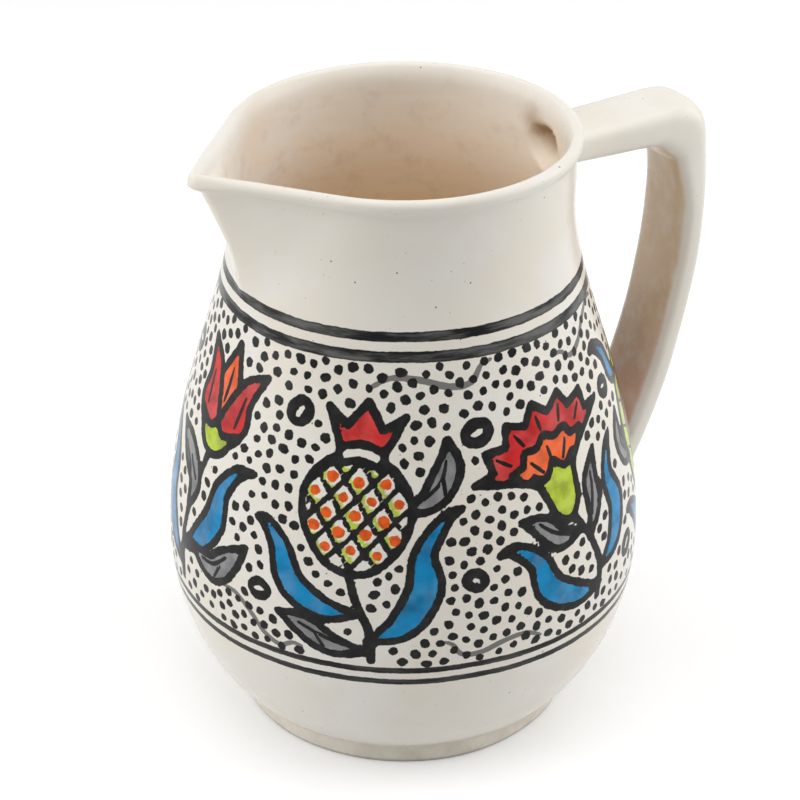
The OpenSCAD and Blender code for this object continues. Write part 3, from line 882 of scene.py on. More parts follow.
def scatter_dots(painting, look):
    """Dots that fill the ground between the motifs: angles and ways up the wall."""
    rng = np.random.default_rng(look.seed)
    wall = painting.wall
    margin, tries, rounds = 0.0010, 26000, 4
    low, high = painting.low + margin, painting.high - margin

    def is_ground(angle, along):
        """Which places have room for a dot."""
        gap, _, _, taken = painting.read(angle, wall.at(along)[0], along)
        return (gap > look.dot_clear / MM) & ~taken

    angle = rng.uniform(-math.pi, math.pi, tries)
    along = rng.uniform(low, high, tries)
    free = is_ground(angle, along) & (rng.uniform(size=tries) < wall.at(along)[0] / (wall.s.belly_d / 2))
    angle, along = angle[free], along[free]
    places = wall.places(angle, along)
    grid = {}
    kept = []
    for i, p in enumerate(places):
        key = tuple((p // look.dot_step).astype(int))
        close = (j for dx in (-1, 0, 1) for dy in (-1, 0, 1) for dz in (-1, 0, 1)
                 for j in grid.get((key[0] + dx, key[1] + dy, key[2] + dz), ()))
        if all(np.linalg.norm(places[j] - p) > look.dot_step for j in close):
            grid.setdefault(key, []).append(i)
            kept.append(i)
    angle, along = angle[kept], along[kept]
    reach, ease = 1.45 * look.dot_step, 0.22
    for _ in range(rounds):
        places = wall.places(angle, along)
        tree = tree_of(places)
        push = np.zeros((len(places), 3))
        for i, p in enumerate(places):
            for q, j, d in tree.find_range(p, reach):
                if j != i:
                    push[i] += (p - np.array(q)) / d * (reach - d) * ease
        sideways = push[:, 1] * np.cos(angle) - push[:, 0] * np.sin(angle)
        new_angle = angle + sideways / wall.at(along)[0]
        new_along = np.clip(along + push[:, 2], low, high)
        good = is_ground(new_angle, new_along)
        angle, along = np.where(good, new_angle, angle), np.where(good, new_along, along)
    return angle, along, rng


def dots_and_spots(painting, dots, look):
    """Angles, ways up, half widths and heights, leans and tones of the black dots and orange spots."""
    angle, along, rng = dots
    count = len(angle)
    half = look.dot_d / 2 * rng.uniform(0.86, 1.16, count)
    long = rng.uniform(1.0, 1.22, count)
    lean = rng.uniform(0, math.pi, count)
    spots = []
    for marks, at, turn, height, scale, hand in painting.placed:
        c, s = math.cos(turn), math.sin(turn)
        for mark in marks:
            if mark.kind == 'spot':
                x, y = mark.line[0] * scale * (hand, 1)
                up = (painting.low + painting.high) / 2 + (height + s * x + c * y) * MM
                r = mark.widths[0] / 2 * scale * MM
                spots.append((at + (c * x - s * y) * MM / painting.wall.at(up)[0], up, r, r, 0.0, 1.0))
    black = np.stack([angle, along, half * long ** 0.5, half / long ** 0.5, lean, np.zeros(count)], 1)
    return np.concatenate([black, spots]).T


def put(mesh, name, values):
    """Stores values or vectors as an attribute of a mesh's vertices or of its faces' corners."""
    kind, key = ('FLOAT_VECTOR', "vector") if values.ndim == 2 else ('FLOAT', "value")
    layer = mesh.attributes.new(name, kind, 'POINT' if len(values) == len(mesh.vertices) else 'CORNER')
    layer.data.foreach_set(key, np.ascontiguousarray(values, np.float32).ravel())


class Canvas:
    """A piece's mesh, which keeps what the brush leaves on it for its material to read."""

    def __init__(self, mesh, painting):
        wall = painting.wall
        self.mesh, self.painting = mesh, painting
        self.points = values_of(mesh.vertices, "co", 3)
        self.unrolled = np.stack(wall.unrolled(self.points), 1)
        angle, radius, along = self.unrolled.T
        z = self.points[:, 2]
        lining = values_of(mesh.attributes["lining"].data, "value")
        margin = 0.004
        self.on_field = (lining < 0.5) & (along > painting.low - margin) & (along < painting.high + margin)
        self.on_field &= (z > 0.03) & (radius > wall.radius(z) - 0.001)
        self.corner = values_of(mesh.loops, "vertex_index", 1, int)
        self.start = values_of(mesh.polygons, "loop_start", 1, int)
        self.total = values_of(mesh.polygons, "loop_total", 1, int)
        self.on_face = np.logical_and.reduceat(self.on_field[self.corner], self.start)
        self.faces = np.nonzero(self.on_face)[0]
        self.centre = np.add.reduceat(self.points[self.corner], self.start) / self.total[:, None]

    def paint_forms(self):
        """Thick lines and colour."""
        count = len(self.points)
        gap, colour, strength = np.full(count, FAR), np.ones((count, 3)), np.zeros(count)
        there = self.on_field
        gap[there], colour[there], strength[there], _ = self.painting.read(*self.unrolled[there].T)
        put(self.mesh, "ink", gap)
        put(self.mesh, "wash", colour)
        put(self.mesh, "wash_strength", strength)

    def paint_dots(self, dots, look):
        """At each corner of a face, the place on the dot nearest to the face, in half widths of the dot."""
        angle, along, wide, tall, lean, tone = dots_and_spots(self.painting, dots, look)
        step = 0.0005
        middle = self.painting.wall.places(angle, along)
        upward = (self.painting.wall.places(angle, along + step) - middle) / step
        across = np.stack([-np.sin(angle), np.cos(angle), np.zeros(len(angle))], 1)
        tree = tree_of(middle)
        nearest = np.zeros(len(self.total), int)
        for f in self.faces:
            nearest[f] = tree.find(self.centre[f])[1]
        which = np.repeat(nearest, self.total)
        rel = self.points[self.corner] - middle[which]
        u, v = (rel * across[which]).sum(1), (rel * upward[which]).sum(1)
        c, s = np.cos(lean[which]), np.sin(lean[which])
        dot = np.stack([(c * u + s * v) / wide[which], (c * v - s * u) / tall[which], tone[which]], 1)
        dot[~np.repeat(self.on_face, self.total)] = (FAR, FAR, 0)
        put(self.mesh, "dot", dot)

    def paint_hairs(self):
        """At each corner of a face, the place on the thin line nearest to the face, and its tone."""
        best = np.full(len(self.total), FAR)
        hair_at = np.tile((FAR, 0.0, 0.0), (len(self.corner), 1))
        hair_tone = np.zeros(len(self.corner))
        unrolled = self.painting.wall.unrolled(self.centre[self.faces])
        for place in self.painting.placed:
            local = self.painting.on_motif(place, *unrolled)
            for mark in place[0]:
                if mark.kind != 'hair':
                    continue
                some = mark.near(local, 2.5)
                near, here = self.faces[some], local[some]
                last = len(mark.line) - 2
                for i, (a, b) in enumerate(zip(mark.line, mark.line[1:])):
                    length = np.linalg.norm(b - a)
                    way = (b - a) / length
                    run = (here - a) @ way
                    first_w, end_w = mark.widths[i:i + 2]
                    far = np.hypot((here - a) @ left_of(way), run - np.clip(run, 0, length))
                    far -= (first_w + end_w) / 4
                    closer = far < best[near]
                    best[near[closer]] = far[closer]
                    for f in near[closer]:
                        loops = slice(self.start[f], self.start[f] + self.total[f])
                        p = self.painting.on_motif(place, *self.unrolled[self.corner[loops]].T) - a
                        run = p @ way
                        over = np.minimum(run, 0) if i == 0 else 0 * run
                        if i == last:
                            over = over + np.maximum(run - length, 0)
                        width = first_w + (end_w - first_w) * np.clip(run / length, 0, 1)
                        hair_at[loops] = np.stack([p @ left_of(way), over, width / 2], 1)
                        hair_tone[loops] = mark.tone
        put(self.mesh, "hair", hair_at)
        put(self.mesh, "hair_tone", hair_tone)


class Wiring:
    """Adds nodes to a material or a world and joins them."""

    def __init__(self, owner):
        owner.use_nodes = True
        self.owner = owner
        self.tree = owner.node_tree
        self.tree.nodes.clear()
        self.coords = self.add('ShaderNodeTexCoord').outputs['Object']

    def add(self, kind, inputs=None, **settings):
        """A node with its settings and its inputs, which are values or other nodes' outputs."""
        node = self.tree.nodes.new(kind)
        for key, value in settings.items():
            setattr(node, key, value)
        for key, value in (inputs or {}).items():
            if isinstance(value, bpy.types.NodeSocket):
                self.tree.links.new(value, node.inputs[key])
            elif value is not None:
                node.inputs[key].default_value = value
        return node

    def math(self, operation, a, b=None):
        """One step of reckoning."""
        return self.add('ShaderNodeMath', {0: a, 1: b}, operation=operation).outputs[0]

    def times(self, a, b):
        """One value multiplied by another."""
        return self.math('MULTIPLY', a, b)

    def plus(self, value, more, amount=None):
        """A value with another added, or with an amount of the other."""
        return self.math('ADD', value, more if amount is None else self.times(more, amount))

    def length(self, x, y):
        """How long a step of x and y is."""
        return self.math('SQRT', self.plus(self.math('POWER', x, 2), self.math('POWER', y, 2)))

    def ramp(self, value, low, high, out_low=0.0, out_high=1.0, eased=True):
        """Goes from out_low to out_high as the value goes from low to high."""
        return self.add(
            'ShaderNodeMapRange',
            {'Value': value, 'From Min': low, 'From Max': high, 'To Min': out_low, 'To Max': out_high},
            interpolation_type='SMOOTHSTEP' if eased else 'LINEAR').outputs['Result']

    def mix(self, factor, a, b, blend='MIX'):
        """Goes from colour a to colour b."""
        a, b = (c if isinstance(c, bpy.types.NodeSocket) else (*c, 1) for c in (a, b))
        node = self.add('ShaderNodeMix', {0: factor, 6: a, 7: b}, data_type='RGBA', blend_type=blend)
        return node.outputs[2]

    def noise(self, size_mm, detail=2.0, stretch=(1, 1, 1), rough=0.5):
        """Soft noise with features of about a size in millimetres."""
        scaled = self.add('ShaderNodeMapping', {'Vector': self.coords, 'Scale': stretch}).outputs[0]
        inputs = {'Vector': scaled, 'Scale': 1 / MM / size_mm, 'Detail': detail, 'Roughness': rough}
        return self.add('ShaderNodeTexNoise', inputs).outputs['Fac']

    def clouds(self, a, b, low, high, most, *shape, **rough):
        """Colour a with clouds of colour b where a noise goes from low to high."""
        return self.mix(self.ramp(self.noise(*shape, **rough), low, high, 0.0, most), a, b)

    def waver(self, size_mm, detail=1):
        """Soft noise round zero."""
        return self.math('SUBTRACT', self.noise(size_mm, detail), 0.5)

    def attribute(self, name, output='Fac'):
        """What the mesh stores under a name."""
        return self.add('ShaderNodeAttribute', attribute_name=name).outputs[output]

    def split(self, vector):
        """The three parts of a vector."""
        return self.add('ShaderNodeSeparateXYZ', {0: vector}).outputs

    def mm(self, axis):
        """The place along an axis in millimetres."""
        return self.times(self.split(self.coords)[axis], 1 / MM)

    def bump(self, height, distance, strength, under=None):
        """Relief from a height, over other relief."""
        inputs = {'Height': height, 'Distance': distance, 'Strength': strength, 'Normal': under}
        return self.add('ShaderNodeBump', inputs).outputs[0]

    def seen(self):
        """1 where the camera sees a thing, straight or in the glaze, and 0 where it only lights others."""
        rays = self.add('ShaderNodeLightPath').outputs
        mirrored = self.math('MAXIMUM', rays['Is Glossy Ray'], rays['Is Transmission Ray'])
        return self.math('MAXIMUM', rays['Is Camera Ray'], mirrored)

    def surface(self, colour, roughness, level, relief):
        """Ends a material with its one shader."""
        shader = self.add('ShaderNodeBsdfPrincipled', {
            'Base Color': colour, 'Roughness': roughness, 'Specular IOR Level': level, 'Normal': relief})
        self.add('ShaderNodeOutputMaterial', {'Surface': shader.outputs[0]})
        return self.owner

    def glaze(self, colour, finish, level):
        """Ends a material with a slightly rippled glaze over faint throwing marks."""
        marks = self.bump(self.noise(9, 2, (0.12, 0.12, 1)), 0.00045, 0.5)
        relief = self.bump(self.noise(5.5, 1), 0.0002, 0.35, marks)
        gloss = self.ramp(self.noise(12, 2), 0.3, 0.7, finish.gloss, finish.gloss + 0.06)
        return self.surface(colour, gloss, level, relief)


def new_material(name):
    """The wiring of a new material."""
    return Wiring(bpy.data.materials.new(name))


def glaze_colour(w, finish):
    """Cream slip with warm and cool clouds and small iron specks."""
    colour = w.clouds(finish.cream, finish.warm_cream, 0.40, 0.66, 1.0, 38, 3)
    colour = w.clouds(colour, finish.cool_cream, 0.50, 0.72, 1.0, 23, 3)
    for cell, radius, depth in ((5.5, 0.055, 0.85), (2.6, 0.075, 0.35)):
        cells = w.add('ShaderNodeTexVoronoi', {'Vector': w.coords, 'Scale': 1 / MM / cell})
        ragged = w.plus(cells.outputs['Distance'], w.noise(0.5, 1), 0.05)
        colour = w.mix(w.ramp(ragged, radius + 0.02, radius, 0.0, depth), colour, finish.speck)
    return colour


def lining_colour(w, finish, z):
    """Glaze inside the neck, painted lighter than the cream outside as painted light, tan further down,
    brown where it pools in the hollow and darkened there as painted shade.
    """
    toward_beak = w.ramp(w.mm('X'), 8, -40, 0.0, 36.0)
    level = w.plus(w.plus(z, toward_beak), w.noise(26, 3, (0.6, 0.6, 1.5)), 18)
    # Pale near the rim, tan further down; both are painted lighter than the cream as painted light.
    colour = w.mix(w.ramp(level, 156, 120, eased=False), finish.pale_lining, finish.lining)
    dark = [0.88 * c for c in finish.lining]
    colour = w.clouds(colour, finish.lining, 0.38, 0.68, 0.35, 11, 3, (0.6, 0.6, 1.3))
    colour = w.clouds(colour, dark, 0.48, 0.74, 0.30, 5.5, 3, (0.12, 0.12, 1), 0.6)
    colour = w.clouds(colour, finish.stain_and_shade, 0.50, 0.74, 0.16, 7, 4, rough=0.65)
    # Three brown spots in the hollow behind the arm: pooled glaze, deepened as painted shade of the recess.
    hollow_stain_and_shade = (((37.5, 3.5, 142.5), 6.5, 0.42), ((41.5, 2.5, 141.0), 6.0, 0.80),
              ((43.0, 0.0, 138.5), 7.0, 0.95))
    for place, reach, depth in hollow_stain_and_shade:
        off = w.add('ShaderNodeVectorMath', {0: w.coords, 1: [MM * c for c in place]}, operation='DISTANCE')
        off = w.plus(w.times(off.outputs['Value'], 1 / MM), w.noise(5, 3), 5)
        colour = w.mix(w.ramp(off, reach + 2.5, 3.5, 0.0, depth), colour, finish.stain_and_shade)
    return colour


def paint_bands(w, colour, look, height):
    """The brushed bands above and below the painted field, dry in places."""
    upper, lower = look.upper_edge_z / MM, look.lower_edge_z / MM
    first, gap, second = (v / MM for v in (look.upper_line_w, look.upper_gap, look.upper_second_w))
    line, low_gap = look.lower_line_w / MM, look.lower_gap / MM
    bands = [(upper - first / 2, first), (upper - first - gap - second / 2, second),
             (lower + line / 2, line), (lower + line + low_gap + line / 2, line)]
    streak = w.noise(2.2, 3, (0.16, 0.16, 1.2), 0.65)
    dry = w.ramp(w.plus(w.times(streak, 0.6), w.noise(9, 2, (0.5, 0.5, 1)), 0.4), 0.40, 0.60)
    outside = w.ramp(w.attribute("lining"), 0.3, 0.1)
    for middle, width in bands:
        off = w.math('SUBTRACT', w.math('ABSOLUTE', w.math('SUBTRACT', height, middle)), width / 2)
        is_upper = middle > (upper + lower) / 2
        tone = w.times(dry, w.ramp(off, -0.55, -0.1, 1.0, 0.35) if is_upper else 0.35)
        mask = w.times(w.ramp(off, 0.09, -0.09), outside)
        colour = w.mix(mask, colour, w.mix(tone, look.ink, look.band_grey))
    return colour


def painted_glaze(finish, look):
    """Clear glaze over cream slip, with the brushed painting, the bands and the tan lining, which carries
    painted light inside the neck and painted shade in the hollow.
    """
    w = new_material("painted glaze")
    z = w.mm('Z')
    inside_share = w.times(w.attribute("lining"), w.ramp(z, 149.5, 141.0, 0.15, 1.0))
    colour = w.mix(inside_share, glaze_colour(w, finish), lining_colour(w, finish, z))
    fine, coarse = w.waver(1.1), w.waver(3.2)
    rough_edge = w.plus(w.times(fine, 0.45), coarse, 0.55)

    strength = w.times(w.attribute("wash_strength"), w.ramp(w.noise(6.5, 2), 0.30, 0.62, 0.93, 1.0))
    pooled = w.clouds((1.10, 1.10, 1.10), (0.66, 0.64, 0.66), 0.36, 0.72, 1.0, 4.5, 3)
    colour = w.mix(strength, colour, w.mix(1.0, w.attribute("wash", 'Vector'), pooled, 'MULTIPLY'))

    ink = w.clouds(look.ink, look.thin_ink, 0.40, 0.72, 1.0, 3.4, 3, rough=0.6)
    hair = w.split(w.attribute("hair", 'Vector'))
    hair_gap = w.math('SUBTRACT', w.length(hair['X'], hair['Y']), hair['Z'])
    hair_mask = w.ramp(w.plus(hair_gap, rough_edge, 0.5), 0.07, -0.07)
    hair_tone = w.attribute("hair_tone")
    hair_mask = w.times(hair_mask, w.ramp(hair_tone, 0, 1, 1.0, 0.85, False))
    colour = w.mix(hair_mask, colour, w.mix(hair_tone, ink, look.band_grey))
    colour = w.mix(w.ramp(w.plus(w.attribute("ink"), rough_edge), 0.08, -0.08), colour, ink)

    dot = w.split(w.attribute("dot", 'Vector'))
    reach = w.plus(w.length(dot['X'], dot['Y']), fine, 0.6)
    black = w.clouds(look.ink, look.thin_ink, 0.35, 0.75, 1.0, 2.0, 1)
    orange = w.clouds(look.orange, [0.72 * c for c in look.orange], 0.35, 0.7, 1.0, 1.6, 1)
    colour = w.mix(w.ramp(reach, 1.07, 0.93), colour, w.mix(dot['Z'], black, orange))

    wander = w.plus(w.times(w.waver(34), 1.5), coarse, 0.35)
    colour = paint_bands(w, colour, look, w.plus(w.plus(z, wander), fine, 0.22))
    return w.glaze(colour, finish, 0.14)


def cream_glaze(finish):
    """Clear glaze over cream slip, tan with painted shade on the strap's inner side."""
    w = new_material("cream glaze")
    z = w.mm('Z')
    colour = w.clouds(glaze_colour(w, finish), finish.warm_cream, 0.50, 0.75, 0.5, 16, 3)
    # Strap's inner side: tan glaze with painted shade, darker lower down, rosy near the lower root.
    tan = w.mix(w.ramp(w.plus(z, w.noise(14, 3), 40), 118, 78), finish.tan, finish.shaded_dark_tan)
    tan = w.mix(w.ramp(w.plus(z, w.noise(9, 3), 12), 86, 70), tan, finish.rosy_tan)
    tan = w.clouds(tan, finish.warm_cream, 0.42, 0.72, 0.35, 4.5, 3, rough=0.6)
    ragged = w.plus(w.attribute("inner"), w.waver(6, 3), 0.6)
    return w.glaze(w.mix(w.ramp(ragged, 0.15, 0.85), colour, tan), finish, 0.22)


def bare_clay(finish):
    """Bare fired clay, painted lighter as painted light from the floor, with the glaze's wavy edge round its
    top and painted contact shade along its bottom edge.
    """
    w = new_material("bare clay")
    z = w.mm('Z')
    grain = w.noise(1.4, 4, rough=0.65)
    clay = w.clouds(finish.clay, finish.clay_dark, 0.38, 0.68, 1.0, 7, 3)
    clay = w.mix(w.ramp(grain, 0.52, 0.70, 0.0, 0.55), clay, finish.clay_dark)
    glazed = w.ramp(w.plus(z, w.waver(17, 2), 3.2), 4.3, 5.7)
    colour = w.mix(glazed, clay, glaze_colour(w, finish))
    # Painted contact shade: the clay darkens towards the bottom edge, where the foot stands on the floor.
    colour = w.mix(w.ramp(z, 1.3, 0.3, 0.0, 0.6), colour, [0.3 * c for c in finish.clay_dark])
    relief = w.bump(w.times(grain, w.math('SUBTRACT', 1.0, glazed)), 0.0003, 0.8)
    relief = w.bump(glazed, 0.0003, 0.9, relief)
    return w.surface(colour, w.ramp(glazed, 0, 1, 0.85, finish.gloss + 0.05, False), 0.22, relief)


class Strap:
    """The strap handle's middle line and skin."""
    power = 3.3
    fade = 0.26
    corner = 0.0031
    fill = 0.0020
    fill_length = 0.007
    out_lean = math.radians(7)
    top_pull = 0.15
    end_pull = 0.505
    set_back = 0.0008
    past_root = 0.012

    def __init__(self, wall):
        s = wall.s
        self.s, self.wall = s, wall
        self.grip_x = wall.neck_r + s.grip_gap + s.grip_t / 2
        elbow_z = wall.arm_z + s.arm_rise_h
        self.arm_angle = math.atan2(s.arm_rise_h, self.grip_x - wall.neck_r)
        self.arm_way = toward(self.arm_angle)
        below = toward(self.out_lean - math.pi / 2)
        turn = math.pi / 2 + self.arm_angle
        self.elbow = np.array([
            self.grip_x - self.set_back - s.elbow_r, elbow_z - s.elbow_r * math.tan(turn / 2)])
        self.arm_start = np.array([wall.neck_r - s.grip_t, wall.arm_z - s.grip_t * math.tan(self.arm_angle)])
        arm_end = self.elbow + s.elbow_r * left_of(self.arm_way)
        top = self.elbow + s.elbow_r * left_of(below)
        end = np.array([s.belly_d / 2 - s.root_sink_t, s.root_z])
        span = top[1] - s.root_z
        self.down = np.array([-math.sin(s.root_lean), -math.cos(s.root_lean)])
        self.shares = np.linspace(0, 1, 300)
        first, last = top + self.top_pull * span * below, end - self.end_pull * span * self.down
        self.curve = bezier(top, first, last, end, self.shares)
        self.grip_run = run_of(self.curve)
        self.arm_length = np.linalg.norm(arm_end - self.arm_start)
        self.elbow_length = s.elbow_r * (turn - self.out_lean)
        self.length = self.arm_length + self.elbow_length + self.grip_run[-1] + self.past_root

    def middle(self, run):
        """Place and direction of the strap's middle line at a length along it."""
        if run < self.arm_length:
            return self.arm_start + self.arm_way * run, self.arm_way
        run -= self.arm_length
        if run < self.elbow_length:
            way = toward(self.arm_angle - run / self.s.elbow_r)
            return self.elbow + self.s.elbow_r * left_of(way), way
        run -= self.elbow_length
        last, step = self.grip_run[-1], 1e-3
        if run < last:
            runs = run, min(run + step, last), max(run - step, 0)
            place, ahead, back = at_run(runs, self.grip_run, self.curve)
            return place, (ahead - back) / np.linalg.norm(ahead - back)
        return self.curve[-1] + self.down * (run - last), self.down

    def elbow_share(self, run):
        """1 at the elbow, where the strap is narrow and thick, and 0 towards both roots."""
        first = self.s.grip_t / math.cos(self.arm_angle)
        if run < self.arm_length:
            return smooth((run - first) / (self.arm_length - first))
        run -= self.arm_length + self.elbow_length
        return 1 - smooth(np.interp(run, self.grip_run, self.shares) / self.fade)

    def skin(self, run, angle):
        """A point on the strap's skin and its outward direction."""
        s = self.s
        place, way = self.middle(run)
        near = self.elbow_share(run)
        thin_w, thin_t = (s.arm_w, s.arm_t) if run < self.arm_length else (s.grip_w, s.grip_t)
        width = thin_w + (s.elbow_w - thin_w) * near
        thickness = thin_t + (s.elbow_t - thin_t) * near
        across, over = math.cos(angle), math.sin(angle)
        u = math.copysign(abs(across) ** (2 / self.power), across)
        v = math.copysign(abs(over) ** (2 / self.power), over)
        up = left_of(way)
        bend = clamp((run - self.arm_length) / self.elbow_length)
        off = (run - self.arm_length - self.elbow_length / 2) / self.fill_length
        push = max(0.0, v) * self.corner * math.sin(math.pi * bend) ** 2
        push += min(0.0, v) * self.fill * math.exp(-off * off)
        flat = place + up * (v * thickness / 2 + push)
        out = np.array([up[0] * v, u, up[1] * v])
        return np.array([flat[0], u * width / 2, flat[1]]), out / np.linalg.norm(out)

    def gap(self, point):
        """Distance of a point from the turned wall, along the wall's radius."""
        return math.hypot(point[0], point[1]) - self.wall.radius(point[2])

    def reach(self, angle, gap, inside_run, outside_run):
        """Length along the strap at which its skin is a given distance from the wall."""
        halvings = 28
        for _ in range(halvings):
            half = (inside_run + outside_run) / 2
            if self.gap(self.skin(half, angle)[0]) > gap:
                outside_run = half
            else:
                inside_run = half
        return (inside_run + outside_run) / 2

    def rooted(self, run, angle, gap):
        """A point of the clay worked round a root, a given distance from the wall."""
        point, out = self.skin(run, angle)
        radial = np.array([point[0], point[1], 0]) / math.hypot(point[0], point[1])
        along = out - (out @ radial) * radial
        share = clamp(gap / self.s.root_r)
        point = point + along * self.s.root_r * (1 - math.sqrt(1 - (1 - share) ** 2))
        return at_radius(point, self.wall.radius(point[2]) + gap)


def add_strap(wall, material):
    """The strap handle: rings extruded along its middle line, fitted to the wall at both roots."""
    s = wall.s
    strap = Strap(wall)
    sides = 72
    angles = [2 * math.pi * k / sides for k in range(sides)]
    levels = [s.root_r * (1 - math.cos(math.radians(a))) for a in (0, 8, 16, 25, 35, 46, 58, 72, 90)]
    upper = {g: [strap.reach(a, g, 0, 0.030) for a in angles] for g in levels}
    lower = {g: [strap.reach(a, g, strap.length, strap.length - 0.060) for a in angles] for g in levels}
    start, end = upper[levels[-1]], lower[levels[-1]]
    bend_from = strap.arm_length - 0.003
    bend_to = bend_from + strap.elbow_length + 0.006
    low_from = strap.length - 0.062

    def ring(runs):
        """One ring of the skin, with the length along the strap of each of its points."""
        return [strap.skin(run, a)[0] for run, a in zip(runs, angles)]

    def root(runs, g):
        """One ring of a root at a distance from the wall."""
        return [strap.rooted(run, a, g) for run, a in zip(runs[g], angles)]

    rings = [root(upper, g) for g in levels]
    rings += [ring([run + (bend_from - run) * t for run in start]) for t in np.linspace(0, 1, 12)[1:]]
    even_runs = *np.linspace(bend_from, bend_to, 38)[1:], *np.linspace(bend_to, low_from, 24)[1:]
    rings += [ring([run] * sides) for run in even_runs]
    rings += [ring([low_from + (run - low_from) * t for run in end]) for t in np.linspace(0, 1, 22)[1:-1]]
    rings += [root(lower, g) for g in levels[::-1]]

    noise.seed_set(s.waver_seed)

    def uneven(p):
        """A hand-made strap's slight waver, which dies out at the roots."""
        fade = clamp(strap.gap(p) / 0.008)
        push = noise.noise_vector(Vector(p) * 38) * 0.00032 + noise.noise_vector(Vector(p) * 120) * 0.00007
        push.x -= 0.0002
        return Vector(p) + push * fade

    under = 0.0003

    def sunk(ring, share):
        """A ring drawn in towards its middle, just under the wall's skin."""
        middle = sum(ring) / len(ring)
        drawn = [middle + (p - middle) * share for p in ring]
        depth = [wall.bulge(y, z) if z > 0.1 else 0 for _, y, z in drawn]
        return [at_radius(q, wall.radius(q[2]) + d - under) for q, d in zip(drawn, depth)]

    shrink = (1.0, 0.9, 0.78, 0.64, 0.5, 0.36, 0.22, 0.1, 0.0)
    rings = [sunk(rings[0], k) for k in shrink[::-1]] + rings + [sunk(rings[-1], k) for k in shrink]
    bm = bmesh.new()
    inner_layer = bm.verts.layers.float.new("inner")
    bmesh.ops.create_grid(bm, x_segments=sides, y_segments=len(rings) - 1, size=0.5)
    for vert in bm.verts:
        k = round((vert.co.x + 0.5) * sides) % sides
        # How much the skin faces the neck; the glaze material paints this side tan with painted shade.
        vert[inner_layer] = smooth((-math.sin(angles[k]) - 0.50) / 0.42)
        vert.co = uneven(rings[round((vert.co.y + 0.5) * (len(rings) - 1))][k])
    bmesh.ops.remove_doubles(bm, verts=bm.verts, dist=2e-6)
    bmesh.ops.recalc_face_normals(bm, faces=bm.faces)
    return finish_mesh("handle", bm, material)


def add_foot(wall, material):
    """The foot ring, spun from its outline, with worn edges."""
    s = wall.s
    e = s.foot_edge_r
    inner, outer, top = wall.foot_in_r, s.foot_d / 2, s.foot_top_d / 2
    outline = [*arc((inner + e, e), e, 180, 270, 6), *arc((outer - e, e), e, -90, 0, 6)]
    outline += [(outer + (top - outer) * t, e + (s.foot_h - e) * t) for t in np.linspace(0, 1, 8)[1:]]
    outline += [(top - 0.002, s.foot_h), (inner + 0.002, s.foot_h), (inner, s.foot_h), (inner, s.foot_h / 2)]
    bm = bmesh.new()
    line = [bm.verts.new((r, 0, z)) for r, z in outline]
    spin_line(bm, line, [bm.edges.new(pair) for pair in zip(line, line[1:] + line[:1])], 256)
    for vert in bm.verts:
        x, y, z = vert.co
        r = math.hypot(x, y)
        if r > outer - 0.003:
            push = 0.00022 * noise.noise(Vector((x * 60, y * 60, z * 90)))
            vert.co = at_radius(vert.co, r + push)
    return finish_mesh("foot_ring", bm, material)


class JUG_OT_pot(bpy.types.Operator):
    """Turn the pot with its beak, paint it and glaze it"""
    bl_idname = "jug.add_pot"
    bl_label = "Add Painted Pot"

    def execute(self, context):
        scene = context.scene
        look, finish = scene.jug_painting, scene.jug_finish
        wall = Wall(scene.jug_shape)
        material = painted_glaze(finish, look)
        body = turn_wall(wall, 384)
        within = cut_seat(body, wall)
        spout = body.copy()
        bmesh.ops.delete(body, geom=[f for f in body.faces if within(f)], context='FACES')
        bmesh.ops.delete(spout, geom=[f for f in spout.faces if not within(f)], context='FACES')
        painting = Painting(wall, look)
        dots = scatter_dots(painting, look)
        for name, bm, slot in (("body", body, "painted_glaze"), ("spout", spout, "cream_glaze")):
            close_seat(bm, wall)
            mesh = finish_mesh(name, bm, material).data
            keep_wall_normals(mesh)
            canvas = Canvas(mesh, painting)
            canvas.paint_forms()
            canvas.paint_dots(dots, look)
            canvas.paint_hairs()
        return {'FINISHED'}


class JUG_OT_foot(bpy.types.Operator):
    """Turn the foot ring of bare clay"""
    bl_idname = "jug.add_foot"
    bl_label = "Add Foot Ring"

    def execute(self, context):
        add_foot(Wall(context.scene.jug_shape), bare_clay(context.scene.jug_finish))
        return {'FINISHED'}


class JUG_OT_handle(bpy.types.Operator):
    """Pull the strap handle and work its roots into the wall"""
    bl_idname = "jug.add_handle"
    bl_label = "Add Handle"

    def execute(self, context):
        add_strap(Wall(context.scene.jug_shape), cream_glaze(context.scene.jug_finish))
        return {'FINISHED'}


def aimed(name, data, place, aim):
    """An object of the scene that points at a place."""
    thing = place_object(name, data)
    thing.location = place
    thing.rotation_euler = (Vector(aim) - Vector(place)).to_track_quat('-Z', 'Y').to_euler()
    return thing


def add_lamp(name, place, side, power):
    """A large soft lamp that points at the jug."""
    lamp = bpy.data.lights.new(name, 'AREA')
    lamp.shape = 'SQUARE'
    lamp.size = side
    lamp.energy = power
    aimed(name, lamp, place, (0, 0, 0.07))


def add_camera(look):
    """The camera, at the photograph's angle."""
    data = bpy.data.cameras.new("camera")
    data.lens = look.lens
    data.sensor_width = 36
    data.sensor_fit = 'HORIZONTAL'
    data.shift_x = look.shift
    data.clip_start = 0.01
    bpy.context.scene.camera = aimed("camera", data, look.eye, (0, 0, look.aim_z))


def add_world():
    """Soft light from all round, and a white background."""
    w = Wiring(bpy.data.worlds.new("studio"))
    level = w.ramp(w.seen(), 0, 1, 0.06, 1.0, False)
    background = w.add('ShaderNodeBackground', {'Color': (1, 1, 1, 1), 'Strength': level})
    w.add('ShaderNodeOutputWorld', {'Surface': background.outputs[0]})
    bpy.context.scene.world = w.owner


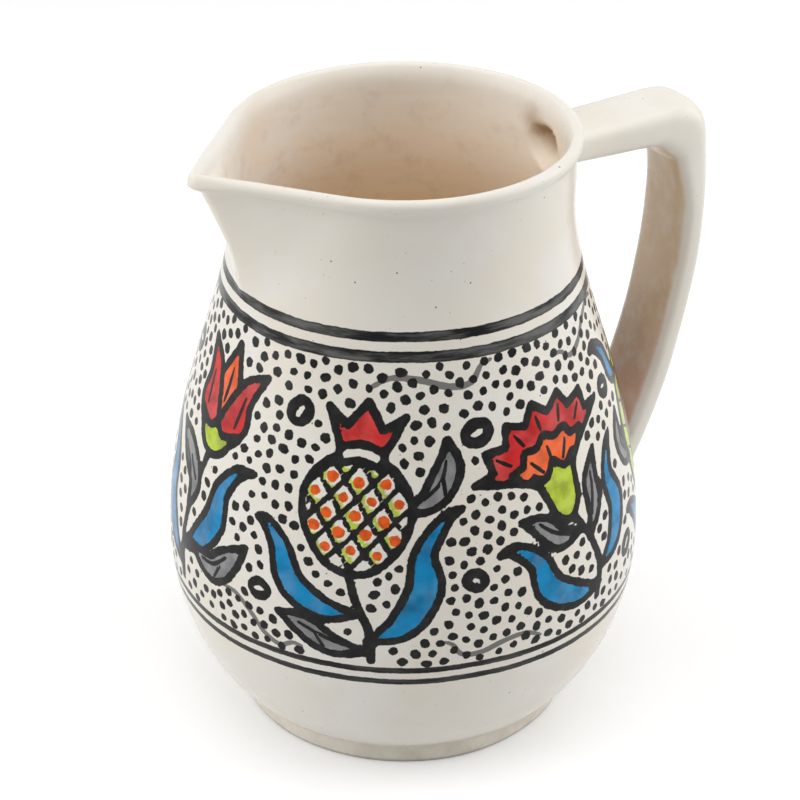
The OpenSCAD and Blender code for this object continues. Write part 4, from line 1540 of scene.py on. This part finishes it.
def add_floor(look):
    """A plain floor that shows white round the object and keeps its shadow."""
    w = new_material("floor")
    plain = w.add('ShaderNodeBsdfDiffuse', {'Color': (*look.floor_tone, 1)}).outputs[0]
    glow = w.add('ShaderNodeEmission', {'Strength': w.times(w.seen(), 0.28)}).outputs[0]
    both = w.add('ShaderNodeAddShader', {0: plain, 1: glow}).outputs[0]
    w.add('ShaderNodeOutputMaterial', {'Surface': both})
    bm = bmesh.new()
    bmesh.ops.create_grid(bm, x_segments=1, y_segments=1, size=look.floor_size / 2)
    floor = make_mesh("floor", bm, w.owner)


class JUG_OT_stage(bpy.types.Operator):
    """Set up the floor, the light and the camera"""
    bl_idname = "jug.add_stage"
    bl_label = "Add Stage"

    def execute(self, context):
        look = context.scene.jug_stage
        add_camera(look)
        add_world()
        add_floor(look)
        add_lamp("overhead", (-0.08, -0.10, 1.2), 1.8, 17.8)
        add_lamp("left", (-0.90, 0.36, 0.40), 0.8, 5.5)
        add_lamp("right", (0.90, -0.44, 0.40), 0.8, 6.2)
        context.scene.view_settings.view_transform = 'Standard'
        return {'FINISHED'}


class JUG_PT_panel(bpy.types.Panel):
    """Lists the jug's pieces and its stage"""
    bl_idname = "JUG_PT_panel"
    bl_label = "Painted Stoneware Jug"
    bl_space_type = 'VIEW_3D'
    bl_region_type = 'UI'
    bl_category = "Jug"

    def draw(self, context):
        for operator in STEPS:
            self.layout.operator(operator.bl_idname)


SETTINGS = {
    "jug_shape": JugShape, "jug_painting": JugPainting, "jug_finish": JugFinish, "jug_stage": JugStage}
STEPS = (JUG_OT_pot, JUG_OT_foot, JUG_OT_handle, JUG_OT_stage)
CLASSES = (*SETTINGS.values(), *STEPS, JUG_PT_panel)


def register():
    for kind in CLASSES:
        bpy.utils.register_class(kind)
    for name, group in SETTINGS.items():
        setattr(bpy.types.Scene, name, PointerProperty(type=group))


def unregister():
    for name in SETTINGS:
        delattr(bpy.types.Scene, name)
    for kind in reversed(CLASSES):
        bpy.utils.unregister_class(kind)


def main():
    register()
    bpy.ops.jug.add_pot()
    bpy.ops.jug.add_foot()
    bpy.ops.jug.add_handle()
    bpy.ops.jug.add_stage()


if __name__ == "__main__":
    main()
